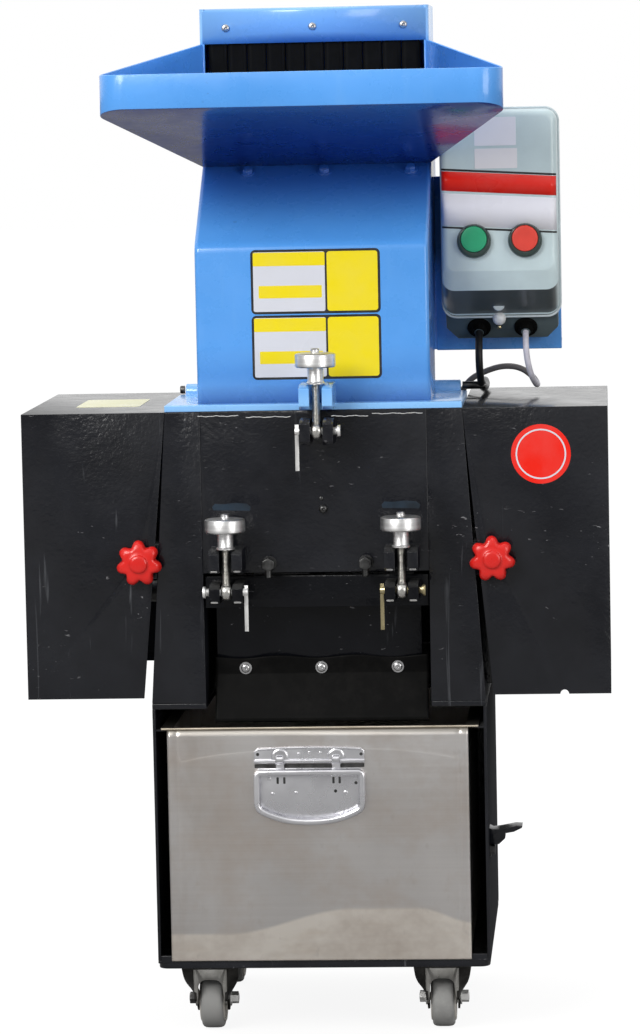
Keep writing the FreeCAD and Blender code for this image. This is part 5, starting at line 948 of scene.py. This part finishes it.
def make_films():
    """Blank stickers: colour blocks where the machine carries its labels, without words or signs."""
    label_x, disc_at = 4.2, np.array([236, BODY_FRONT_Y, 615])
    for name, z in (("upper_label", 797.0), ("lower_label", 728.6)):
        film(name + "_border", rounded(135, 67, 5), (label_x, FRONT_FACE_Y, z), "-y", "black_film")
        for block, size, x, up, out, colour in (
                ("_white", (75, 62, 2), -27.5, 0.0, 0.25, "white_film"),
                ("_yellow", (53, 62, 3), 38.5, 0.0, 0.25, "yellow_film"),
                ("_band_1", (75, 14, 1), -27.5, 23.5, 0.35, "yellow_film"),
                ("_band_2", (66, 13, 1), -26.5, -10.5, 0.35, "yellow_film")):
            place = (label_x + x, FRONT_FACE_Y - out, z + up)
            film(name + block, rounded(*size), place, "-y", colour, 0.1)
    film("guard_disc", disc(31, 64), disc_at, "-y", "red_film")
    ring = [(24.6, 0), (26.2, 0), (26.2, 0.1), (24.6, 0.1), (24.6, 0)]
    made("guard_disc_ring", [turned(ring, disc_at - (0, 0.25, 0), "-y", 64)], "white_film")
    film("guard_top_label", rounded(68, 112, 3), (-225, 30, 664), "z", "cream_film")


make_films()


# -------------------- starter box

STARTER_X, STARTER_FACE_Y, STARTER_ROUND, STARTER_TOP_Z, STARTER_WIDE = 194.0, -11.0, 8.0, 971.0, 124.0
FLAT_END_Y = STARTER_FACE_Y + STARTER_ROUND
SEAM_Y, UNDERSIDE_Z, RIDGE_Z = 43.0, 753.5, 780.0
CHIN = (E[0], np.array([0, -0.6, 0.8]), np.array([0, -0.8, -0.6]))
GLANDS_X, GLANDS_Y, GLANDS_Z = (169.0, 219.0), 56.0, 738.0
SCREW_X, GASKET_Y, GASKET_Z = 191.0, 45.0, 861.0
STARTER_BOLTS_X, STARTER_BOLTS_Y, STARTER_BOLTS_Z = (129.5, 249.5), 94.0, (722, 890)


def cover_rounding(past):
    """How far a rounded edge of radius r falls back over a distance s past the flat: r - sqrt(r^2 - s^2)."""
    return STARTER_ROUND - np.sqrt(STARTER_ROUND ** 2 - np.clip(past, 0, STARTER_ROUND) ** 2)


def make_cover():
    """Bent cover from upright sections, seam to front. With depth the lower edge climbs a slanting
    underside, then a steep slope up to the ridge, while sides and top close in by a quarter round."""
    y = np.concatenate([[47.0, 43.5, SEAM_Y], np.linspace(42.5, -2.5, 4),
                        FLAT_END_Y - STARTER_ROUND * np.sin(quarter(9))])
    low = np.where(y > SEAM_Y + 0.2, 751.5, UNDERSIDE_Z + (SEAM_Y - y) * 26.5 / 46)
    low = np.where(y < FLAT_END_Y, RIDGE_Z + (FLAT_END_Y - y) * 21 / 8, low)
    rings = []
    for depth, foot, inward in zip(y, low, cover_rounding(FLAT_END_Y - y)):
        top = STARTER_TOP_Z - inward
        outline = rounded(STARTER_WIDE - 2 * inward, top - foot, 13.0 - 0.6 * inward, 7)
        rings.append(upright(outline + (STARTER_X, (top + foot) / 2), depth))
    cover = made("starter_cover_shell", [(np.concatenate(rings), capped(len(rings), len(rings[0])), None)],
                 "grey_plastic", crease=16, stands_for=("starter_cover",))
    eased(cover, 1.3, 3, 17)


def cover_band(name, low, high, finish, reach=60.5, flat=54.0, droop=0.06):
    """Film across the cover that follows its rounded edges and runs down a little to the right."""
    x = np.linspace(-reach, reach, 41)
    y = STARTER_FACE_Y - 0.12 + cover_rounding(np.abs(x) - flat)
    walled(made(name, [surface(STARTER_X + x, y, np.array([[low], [high]]) - droop * x)], finish), 0.35)


def make_button(node, body, finish):
    """Push button: a flat cap with an eased rim, in a dark collar that stands out more below it, where it
    is a painted shadow under the cap.
    """
    x, _, z = centre_of(node)
    cap = [(0, -5.6), (13.7, -5.6), (13.8, 6.6), (13.3, 7.4), (11.5, 7.8), (8, 8.0), (0, 8.0)]
    made(node + "_cap", [turned(cap, (x, STARTER_FACE_Y, z), "-y")], finish, body, stands_for=(node,))
    # the collar reaches further out and lower under the cap: painted shadow
    radius, high, drop = np.array([
        (14.1, -2.0, 0), (14.1, 6.6, 0), (14.7, 7.2, 0.3), (16.2, 7.0, 1.6), (17.2, 6.0, 2.2),
        (17.7, 2.0, 2.3), (18.2, 0, 2.3), (18.2, -2.0, 2.3), (14.1, -2.0, 0)]).T[..., None]
    cos, sin = circle(48)
    collar = surface(x + radius * cos, STARTER_FACE_Y - high, z - drop + radius * sin, loop_columns=True)
    made(node + "_collar", [collar], "cap_ring")


def make_starter():
    """Starter box: bent cover, pale gasket round its rim, captive screw, and base with two sockets."""
    make_cover()
    softened("starter_base", 2.0, 3)
    rim = upright(rounded(126.0, 222.6, 14.5, 8) + (STARTER_X, GASKET_Z), GASKET_Y)
    made("starter_gasket", [carried(rounded(2.4, 4.2, 1.0, 4), rim, (0, 1, 0), True)], "pale_gasket")
    well = [(0, 0), (6.4, 0), (6.4, 14.5), (5.4, 15.5), (0, 15.5)]
    dome = [(0, -3), (6.9, -3), (7.1, 1.5), (6.7, 4.2), (5.4, 6.4), (3.2, 7.8), (0, 8.4)]
    tip = [(0, 0), (2.4, 0), (2.2, 4.5), (1.2, 5.6), (0, 5.8)]
    for name, profile, y, z, axis, steps, finish in (
            ("screw_well", well, 44, 763, "-y", 32, "pale_gasket"),
            ("captive_screw", dome, 46.0, 748.5, CHIN, 32, "white_knob"),
            ("captive_tip", tip, 50.0, 740.5, CHIN, 20, "brass_pin")):
        made(name, [turned(profile, (SCREW_X, y, z), axis, steps)], finish)
    throat = [(0, 8.7), (4.7, 8.7), (5.4, 9.4), (6.4, 9.2), (7.9, 4.4), (8.3, 3.0), (10.0, 2.7), (11.9, 2.4),
              (12.6, 1.4), (12.6, -0.6), (0, -0.6)]
    made("gland_sockets", [turned(throat, (x, GLANDS_Y, GLANDS_Z), CHIN, 40) for x in GLANDS_X],
         "black_rubber")
    make_button("start_button", "start", "green_plastic")
    make_button("stop_button", "stop", "stop_red")
    cover_band("starter_red_band", 883.0, 903.5, "red_film")
    cover_band("starter_white_band", 846.5, 880.5, "cover_white")
    cover_band("starter_line_1", 904.2, 906.3, "black_film")
    cover_band("starter_line_2", 843.4, 845.4, "black_film")
    for name, wide, high, x, z, finish in (("starter_label_1", 44, 30, 191, 948, "cover_white"),
                                           ("starter_label_2", 45, 21, 191.5, 919.5, "pale_film")):
        film(name, rounded(wide, high, 1), (x, STARTER_FACE_Y, z), "-y", finish)
    places = [(x, STARTER_BOLTS_Y, z) for z in STARTER_BOLTS_Z for x in STARTER_BOLTS_X]
    made("starter_plate_bolts", each(places, hex_head, "y", 10, 5.0, 1.4), "plated_steel")


make_starter()


# -------------------- casters

LEG_Z = np.concatenate([[19.0, 22.0, 27.0], np.linspace(32.0, 78.6, 15)])[:, None]
LEG_X = np.interp(LEG_Z, [19, 34, 40, 47, 53, 60, 70, 78.6], [16.0, 16.6, 18.6, 22.6, 26.0, 28.0, 29.2, 29.8])
LEG_HALF = np.interp(LEG_Z, [19.0, 22.0, 27.0, 32.0, 46.0, 78.6], [3.0, 7.0, 10.5, 11.5, 12.5, 25.0])
LEG_MIDDLE = np.interp(LEG_Z, [19.0, 40.0, 60.0, 78.6], [0, -1.0, -13.0, -20.0])
WALL_X, WALL_Y, CROWN_Z = 16.2, -37.0, 78.6
AXLE_HALF, SWIVEL_BACK, PLATE_BOLT = 17.6, 20.0, 24.5
CASTERS = [(end, side) for end in ("front", "rear") for side in ("left", "right")]


def closed(half):
    """Half a profile, its mirror image and its first point again."""
    return half + [(radius, -height) for radius, height in reversed(half)] + half[:1]


def spokes(angles):
    """Unit vectors across the x axis at those angles from y."""
    return np.stack([0 * angles, np.cos(angles), np.sin(angles)], 1)


def fork_leg(centre, way):
    """Flared leg of a fork from level lines: straight by the axle, leaning out above it, then nearly
    upright, while it widens from its tip to the swivel's crown."""
    across = np.linspace(-1, 1, 7)
    return surface(centre[0] + way * LEG_X, centre[1] + LEG_MIDDLE + LEG_HALF * across, LEG_Z)


def fork_gusset(centre, way):
    """Web from a leg's front edge straight across to the front wall, line by line."""
    tall = LEG_Z[:, 0] > 33.0
    share = np.linspace(0, 1, 5)
    x = WALL_X * (1 - share) + LEG_X[tall] * share
    y = WALL_Y * (1 - share) + (LEG_MIDDLE - LEG_HALF)[tall] * share
    return surface(centre[0] + way * x, centre[1] + y, LEG_Z[tall])


def make_fork(end, side, centre):
    """Swivel fork: two flared legs, a pale front wall with an arch over the wheel, a crown plate with a
    ball race under the cabinet's plate, and the axle. Legs, crown and axle take a darker copy of the
    fork's zinc than the wall: painted shade."""
    body = f"caster_{end}_{side}"
    webs = [shape(centre, way) for shape in (fork_leg, fork_gusset) for way in (-1, 1)]
    # legs in the darker zinc: painted shade
    walled(made(f"fork_legs_{end}_{side}", webs, "leg_zinc", body, 60), 2.2)
    turn, bend = quarter(6), 9
    left = np.vstack([[(-14.4, 31.0), (-13.6, 40.0)],
                      np.stack([bend - 13.0 - bend * np.cos(turn), 50 + bend * np.sin(turn)], 1)])
    arch_x, arch_z = np.vstack([left, (left * (-1, 1))[::-1]]).T
    edge = np.sign(arch_x) * (16.6 + 2.4 * np.clip((arch_z - 44) / 16, 0, 1))
    x = np.stack([arch_x, np.where(np.abs(arch_x) > 5, edge, arch_x)])
    z = np.stack([arch_z, np.where(arch_z > 50.5, CROWN_Z, arch_z)])
    lean = -38.5 + 0.55 * np.clip(50 - z, 0, None)
    walled(made(f"fork_wall_{end}_{side}", [surface(centre[0] + x, centre[1] + lean, z)], "pale_zinc", body,
                60), 2.0)
    x, y = centre[0], centre[1] - SWIVEL_BACK
    race = [(0, 73.0), (17.0, 73.0), (21.0, 74.6), (22.0, CROWN_Z), (0, CROWN_Z)]
    axle = [(0, -AXLE_HALF), (4.3, -AXLE_HALF), (4.3, AXLE_HALF), (0, AXLE_HALF)]
    crown = [slab(rounded(54, 44, 9), 2.6, (x, y, 70.5), "z", 0.8), turned(race, (x, y, 0)),
             *hex_head((x, y, 70.6), "-z", 13, 5.5, 1.4), turned(axle, centre, "x", 24)]
    made(f"fork_crown_{end}_{side}", crown, "leg_zinc", body, stands_for=(f"fork_{end}_{side}",))


def make_caster(end, side):
    """Swivel caster: pressed fork, axle bolt and nut, grey tyre on a ribbed hub."""
    body, roller = f"caster_{end}_{side}", f"roller_{end}_{side}"
    node = f"wheel_{end}_{side}"
    centre = centre_of(node)
    make_fork(end, side, centre)
    for name, way, axis, high, tone in (
            ("nut", 1, "x", 7.5, "cotter_steel"),
            ("head", -1, "-x", 6.5, "dark_fastener" if side == "left" else "cotter_steel")):
        head = hex_head(centre + way * AXLE_HALF * E[0], axis, 11.5, high, 1.6)
        made(f"axle_{name}_{end}_{side}", head, tone, body)
    tread = closed([(22.4, -9.6), (26.5, -11.6), (29.0, -11.6), (30.6, -10.4), (31.6, -8.2), (32.0, -4.5)])
    made(f"tyre_{end}_{side}", [turned(tread, centre, "x", 64)], "grey_rubber", roller, stands_for=(node,))
    hub = closed([(4.4, -13.4), (8.2, -13.4), (9.0, -12.8), (9.4, -7.0), (21.0, -6.2), (22.6, -12.6),
                  (24.6, -13.3), (25.6, -12.2)])
    parts = [turned(hub, centre, "x")]
    for out in spokes(np.arange(6) * math.pi / 3):
        for w in (E[0], -E[0]):
            parts.append(slab(rounded(12.4, 1.8, 0.5, 3), 5.2, centre + 15.3 * out + 6.0 * w,
                              (out, np.cross(w, out), w), 0.5))
    made(f"hub_{end}_{side}", parts, "hub_nylon", roller)


def make_caster_bolts():
    """Four bolts under each caster's top plate."""
    places = []
    for end, side in CASTERS:
        x, y, _ = centre_of(f"wheel_{end}_{side}") - (0, SWIVEL_BACK, 0)
        places += [(x + a * PLATE_BOLT, y + b * PLATE_BOLT, 79.0) for a in (-1, 1) for b in (-1, 1)]
    made("caster_bolts", each(places, hex_head, "-z", 7.6, 3.6, 0.8), "plated_steel")


for end, side in CASTERS:
    make_caster(end, side)
make_caster_bolts()


# -------------------- swing bolts and pins

def make_swing_bolt(name, pitch=0.7):
    """Eye bolt: a ring on the pivot pin and a shank whose radius rises and falls every other step."""
    node = name + "_bolt"
    low, high = edges(node)
    x, y, _ = centre_of(node)
    pin = (x, y, low[2] + EYE_HIGH)
    eye = [(4.15, -4.4), (5.6, -5.2), (6.8, -4.8), (7.8, -3.6), (8.4, -1.9), (8.5, 0), (8.4, 1.9), (7.8, 3.6),
           (6.8, 4.8), (5.6, 5.2), (4.15, 4.4), (4.15, -4.4)]
    rise = np.arange(9.0, high[2] - pin[2] - 1.0, pitch)
    thread = [(0, 5.5), (4.4, 5.5), (4.4, 8.4)] + [(4.25 if k % 2 else 3.65, h) for k, h in enumerate(rise)]
    thread += [(3.4, rise[-1] + pitch), (0, rise[-1] + pitch)]
    made(node + "_threaded", [turned(eye, pin, "x", 40), turned(thread, pin, "z", 28)], "bolt_steel",
         name + "_swing_bolt", 30, (node,))


for name, metal in (("left", "cotter_steel"), ("right", "brass_pin"), ("top", "cotter_steel")):
    make_swing_bolt(name)
    softened(name + "_pin", 0.35, finish=metal)


# -------------------- rotor, screen and drive

OCTAGON = np.array([(1, 0), (1, 1), (0, 1), (-1, 1), (-1, 0), (-1, -1), (0, -1), (1, -1)], float)


def make_screen(pitch=8.0, hole=2.6, radius=58.5, half_wide=117.0, half_turn=math.radians(59.6)):
    """Perforated screen: rows of cells, each an octagonal hole in a square, every other row half a cell
    along. A point s across and t along the arc stands at x = s, angle t/r below the rotor's axis."""
    cell = np.vstack([OCTAGON * pitch / 2, hole * OCTAGON / np.hypot(*OCTAGON.T)[:, None]])
    quads = [(k, (k + 1) % 8, 8 + (k + 1) % 8, 8 + k) for k in range(8)]
    rows = int(2 * half_turn * radius / pitch) - 1
    reach = rows * pitch / 2
    flat, faces = [], []

    def add(points, corners):
        start = sum(len(f) for f in flat)
        flat.append(np.asarray(points, float))
        faces.extend([[start + c for c in corner] for corner in corners])

    for row in range(rows):
        t = -reach + (row + 0.5) * pitch
        count = 28 if row % 2 else 27
        for k in range(count):
            add(cell + ((k - (count - 1) / 2) * pitch, t), quads)
        for way in (-1, 1):
            edge, side = way * count * pitch / 2, way * half_wide
            add([(side, t - pitch / 2), (side, t + pitch / 2), (edge, t + pitch / 2), (edge, t),
                 (edge, t - pitch / 2)], [range(5)])
    ends = np.concatenate([[-half_wide], np.arange(-28, 29) * pitch / 2, [half_wide]])
    for way in (-1, 1):
        add([(s, way * v) for v in (reach, half_turn * radius) for s in ends], grid(2, len(ends)))
    s, t = np.concatenate(flat).T
    points = np.stack([s, ROTOR[1] + radius * np.sin(t / radius), ROTOR[2] - radius * np.cos(t / radius)], 1)
    walled(made("screen_perforated", [(points, faces, None)], SLOT_OF["screen"], stands_for=("screen",)), 3.0)


def make_rotor():
    """Rotor with eased edges and five socket screws in each knife."""
    softened("rotor", 0.5, body="rotor_set")
    head = [(0, -1), (5.0, -1), (5.0, 3.6), (4.5, 4.3), (2.7, 4.4), (2.6, 1.8), (0, 1.8)]
    screws = []
    for out in spokes(math.pi / 2 - np.arange(3) * 2 * math.pi / 3):
        way = np.cross(out, E[0])
        for x in (-92.0, -46.0, 0.0, 46.0, 92.0):
            spot = ROTOR + 43.0 * out + 7.0 * way + x * E[0]
            screws.append(turned(head, spot, (E[0], np.cross(way, E[0]), way), 24))
    made("knife_screws", screws, "dark_fastener", "rotor_set")


def make_wheels():
    """Pulleys, flywheel and belt with eased edges, and three screws round each hub on the rotor."""
    for node, body in (("rotor_pulley", "rotor_set"), ("flywheel", "rotor_set"),
                       ("motor_pulley", "motor_wheel")):
        softened(node, 0.8, body=body)
    screws = []
    for node, way, side in (("rotor_pulley", -1, 0), ("flywheel", 1, 1)):
        middle = ROTOR + (edges(node)[side][0] - way * 0.5) * E[0]
        places = middle + 24 * spokes(np.arange(3) * 2 * math.pi / 3 + 0.5)
        screws += each(places, hex_head, "x" if way > 0 else "-x", 8, 4)
    made("hub_screws", screws, "plated_steel", "rotor_set")
    softened("belt", 1.0)


make_screen()
make_rotor()
make_wheels()


# -------------------- motor

MOTOR_X, MOTOR_Y, MOTOR_Z = 20.0, 141.0, 448.0
LID_Z, LID_HIGH, NAMEPLATE_Z, NAMEPLATE_OUT = 559.6, 3.0, 540.0, 34.0
FEET_OUT, FEET_Y, FEET_Z, FEET_HIGH = 63.3, (68.5, 213.5), 358.0, 7.0


def make_motor():
    """Motor: finned barrel, fan cowl with a ringed grille over a dark disc that is painted shade, lidded
    terminal box, feet and glands.
    """
    softened("motor", 0.7)
    cowl = (edges("motor")[1][0], MOTOR_Y, MOTOR_Z)
    # dark disc behind the grille: painted shade inside the cowl
    made("cowl_dark", [slab(disc(57, 64), 0.5, cowl, "x", 0.1, 1)], "black_nylon")
    grille = [turned(ring_of(r - 1.8, r + 1.8, 0, 2.2, 0.6) + [(r - 1.8, 0)], cowl, "x", 64)
              for r in range(9, 58, 8)]
    grille += [slab(rounded(114, 3.2, 1.0, 3), 1.8, cowl, (out, np.cross(E[0], out), E[0]), 0.5)
               for out in spokes(np.arange(6) * math.pi / 6)]
    made("cowl_grille", grille, "motor_paint")
    screws = [(MOTOR_X + x, MOTOR_Y + y, LID_Z + LID_HIGH - 0.2) for x in (-32, 32) for y in (-28, 28)]
    made("terminal_lid", [slab(rounded(82, 74, 7), LID_HIGH, (MOTOR_X, MOTOR_Y, LID_Z), "z", 1.2)]
         + each(screws, pan_head, "z", 3.4, 2.0), "motor_paint")
    for y, bore in ((149, 4.2), (126, 3.5)):
        throat = [(bore, 4), (bore, 13.0), (bore + 1.4, 13.0), (bore + 3.0, 10.5), (bore + 3.2, 6),
                  (bore + 3.2, 4), (bore, 4)]
        foot = (57.6, y, 546)
        made(f"terminal_gland_{y}", [slab(hexagon(16), 5.0, foot, "x", 0.8), turned(throat, foot, "x", 32)],
             "black_nylon")
    feet = []
    for x in (MOTOR_X - FEET_OUT, MOTOR_X + FEET_OUT):
        for y in FEET_Y:
            feet.append(slab(rounded(31, 17, 3), FEET_HIGH, (x, y, FEET_Z), "z", 1.2))
            feet += hex_head((x, y, FEET_Z + FEET_HIGH), "z", 11, 5.5, 1.6)
    made("motor_feet", feet, "motor_paint")
    plate_y, thick = MOTOR_Y + NAMEPLATE_OUT, 0.6
    plate = [slab(rounded(54, 26, 2), thick, (MOTOR_X, plate_y, NAMEPLATE_Z), (-E[0], E[2], E[1]), 0.15, 1)]
    places = [(MOTOR_X + x, plate_y + thick, NAMEPLATE_Z) for x in (-24.5, 24.5)]
    plate += each(places, pan_head, "y", 1.3, 0.7)
    made("motor_plate", plate, "pale_zinc")


make_motor()


# -------------------- cabinet, drawer and apron

LUG_SEAT_Z, LUG_FRONT_Y = 499.0, -164.0
HINGE_X, HINGE_Y, HINGE_Z = 150.0, 55.0, 676.0
HEM_X, HEM_Y, HEM_Z, HEM_BACK_Y, HEM_BEND = -173.2, -119.4, 80.0, 226, 9
FACE_X, FACE_Z, FACE_HALF_WIDE, FACE_HALF_HIGH = -2.3, 212.0, 158.0, 119.0
APRON_X, APRON_Y, APRON_TOP_Z, APRON_LONG, APRON_BEND = (-109.5, 114.5), -92.4, 403.0, 70, 18


def make_hem():
    """Rolled hem under the cabinet's edges: a flat rounded section carried round three sides."""
    turn = quarter(6)
    left = np.stack([HEM_X + HEM_BEND * (1 - np.cos(turn)), HEM_Y + HEM_BEND * (1 - np.sin(turn))], 1)
    line = np.vstack([[(HEM_X, HEM_BACK_Y)], left, (left * (-1, 1))[::-1], [(-HEM_X, HEM_BACK_Y)]])
    made("cabinet_hem", [carried(rounded(3.0, 7.6, 1.3, 4), np.insert(line, 2, HEM_Z, axis=1))], FRAME_ENAMEL)


def make_drawer_front():
    """Drawer's face: a thin sheet over the tray's front. It bulges a little in its middle, is pressed in
    beside its two upright edges, and leans forward to pass over the cabinet's sill."""
    x = np.unique(np.concatenate([np.linspace(-160.3, 155.6, 33), np.linspace(-157, -143, 15),
                                  np.linspace(138, 153, 16)]))
    z = np.concatenate([[84.8, 86.0, 88.0], np.linspace(92.0, 330.5, 27)])[:, None]
    share = (np.clip(1 - ((x - FACE_X) / FACE_HALF_WIDE) ** 2, 0, 1)
             * np.clip(1 - ((z - FACE_Z) / FACE_HALF_HIGH) ** 2, 0, 1))
    groove = sum(np.exp(-((x - g) / 2.0) ** 2) for g in (-150.5, 146.0))
    y = -120.0 - 0.5 * share + 0.45 * groove - 2.4 * (331.0 - z) / 246.0
    walled(made("drawer_front_sheet", [surface(x, y, z)], "bright_sheet", "drawer", crease=60), 1.2)
    bead = [(-166.0, -120.4, 331.2), (-80, -120.4, 331.3), (0, -120.4, 331.4), (80, -120.4, 331.3),
            (166.2, -120.4, 331.2)]
    made("drawer_rim_bead", [carried(rounded(2.8, 2.4, 1.1, 5), bead)], "rim_steel", "drawer")


def make_apron():
    """Rubber apron: two flats joined by a bend, its upper edge puckered between the screws by a wave
    that dies away downwards, its lower edge slightly wavy."""
    run = np.concatenate([np.linspace(0, APRON_BEND, 13), np.linspace(19, APRON_LONG, 14)])[:, None]
    past = np.clip(run - APRON_BEND, 0, None)
    x = np.linspace(*APRON_X, 85)
    pucker = np.exp(-(run / 9.0) ** 2)
    wave = np.sin((x + 78) / 80.2 * 2 * math.pi - 1.2)
    y = APRON_Y - past * 20 / 52 - pucker * (1.6 + 1.5 * wave)
    y = y - 0.5 * (run / APRON_LONG) * np.sin(x / 31.0 + 0.5)
    z = APRON_TOP_Z - np.minimum(run, APRON_BEND) - past * 48 / 52 + 1.5 * pucker * wave
    walled(made("apron_sheet", [surface(x, y, z)], SLOT_OF["apron"], crease=60, stands_for=("apron",)), 2.8)


def make_lever():
    """Side lever: a bent tapered blade on its block, one bolt head below it."""
    outline = [(175, 199.8), (184.7, 199.2), (191.5, 205.4), (191, 210.6), (200.8, 212.3), (209.2, 216.3),
               (209.8, 218), (202.7, 218.4), (188.3, 215.6), (179, 214.4), (175, 216.5)]
    made("side_lever_blade", [slab(outline, 26.0, (0, -55.0, 0), "-y", 0.5, 2)], FRAME_ENAMEL,
         stands_for=("side_lever",))
    made("side_lever_bolt", hex_head((174.8, -68.0, 192.5), "x", 11, 4.5, 1.4), "dark_fastener")


def make_edge_highlights():
    """Painted highlights in bright steel: on the lower front corners of the side bolts' lugs, and a broken,
    slightly wavy line along the front plate's top under the hopper's flange."""
    slope = math.sqrt(0.5)
    down = (E[0], np.array([0, -slope, slope]), np.array([0, -slope, -slope]))
    # bright steel strips: painted highlights on edges
    marks = []
    for name in ("left_bolt", "right_bolt"):
        x, pin_z = centre_of(name)[0], edges(name)[0][2] + EYE_HIGH
        for z, wide in ((LUG_SEAT_Z, 7.2), (pin_z - 12.0, 7.6)):
            for way in (-12.0, 12.0):
                corner = (x + way, LUG_FRONT_Y, z + 2.0)
                marks.append(slab(rounded(wide, 2.6, 1.1, 4), 0.25, corner, down, 0.1, 1))
    low, high = edges("front_plate")
    for start, end, drop in ((-116.0, -74.0, 1.4), (-66.0, -20.0, 3.0), (22.0, 60.0, 3.2),
                             (64.0, 116.0, 1.2)):
        x = np.linspace(start, end, 24)
        z = high[2] - drop + 0.35 * np.sin(x * 0.31) + 0.2 * np.sin(x * 0.83)
        line = upright(np.stack([x, z], 1), low[1] - 0.1)
        marks.append(carried(rounded(0.7, 0.5, 0.2, 2), line, (0, 1, 0)))
    made("painted_edge_highlights", marks, "cotter_steel")


def make_nut_reflections():
    """Painted reflection of each side nut: a blue-grey patch on the front plate above it."""
    outline = [(-19, -3), (19, -4), (20, 0), (16, 3.4), (4, 4.4), (-8, 3.2), (-17, 3.8), (-20, 0.5)]
    y = edges("front_plate")[0][1] - 0.05
    for name, x in (("left", -83.0), ("right", 92.0)):
        place = (x, y, edges(name + "_nut")[1][2] + 8.0)
        made(name + "_painted_reflection", [slab(outline, 0.2, place, "-y", 0.1, 1)], "worn_blue")


def make_hinge_pins():
    """Pins of the hopper's rear hinge, standing out of its barrels, further on the right."""
    pins = []
    for axis, x, reach in (("-x", -HINGE_X, 5.0), ("x", HINGE_X, 25.0)):
        profile = [(0, 0), (4.2, 0), (4.2, reach - 1.0), (3.6, reach), (0, reach)]
        pins.append(turned(profile, (x, HINGE_Y, HINGE_Z), axis, 28))
    made("hinge_pins", pins, "dark_fastener")


def make_fillers():
    """Dark enamel plates that stand in for the shade seen through two gaps: behind the granules' way into
    the drawer and behind the gap between the right cheek and its guard. Also the starter plate's own
    folded edge beside the hopper."""
    low, high = edges("starter_plate")
    fold = rounded(9, high[2] - low[2] - 2.0, 1)
    fold_at = (low[0] - 3.0, high[1] - 0.4, (low[2] + high[2]) / 2)
    made("plate_return", [slab(fold, 1.6, fold_at, "-y", 0.4)], "blue_paint")
    # dark plates closing gaps: painted shade seen through them
    made("guard_gap_shade", [slab(rounded(34, 104, 3), 2.0, (183, -44.0, 418), "-y", 0.5)], FRAME_ENAMEL)
    made("chute_gap_shade", [slab(rounded(246, 42, 3), 2.5, (0, 42.0, 379.5), "-y", 0.6)], FRAME_ENAMEL)


make_hem()
make_fillers()
make_drawer_front()
make_apron()
make_lever()
make_edge_highlights()
make_nut_reflections()
make_hinge_pins()


# -------------------- the rest of the frame

for node, slot in SLOT_OF.items():
    materials = frame["nodes"][node].data.materials
    materials.clear()
    materials.append(FINISH[slot])
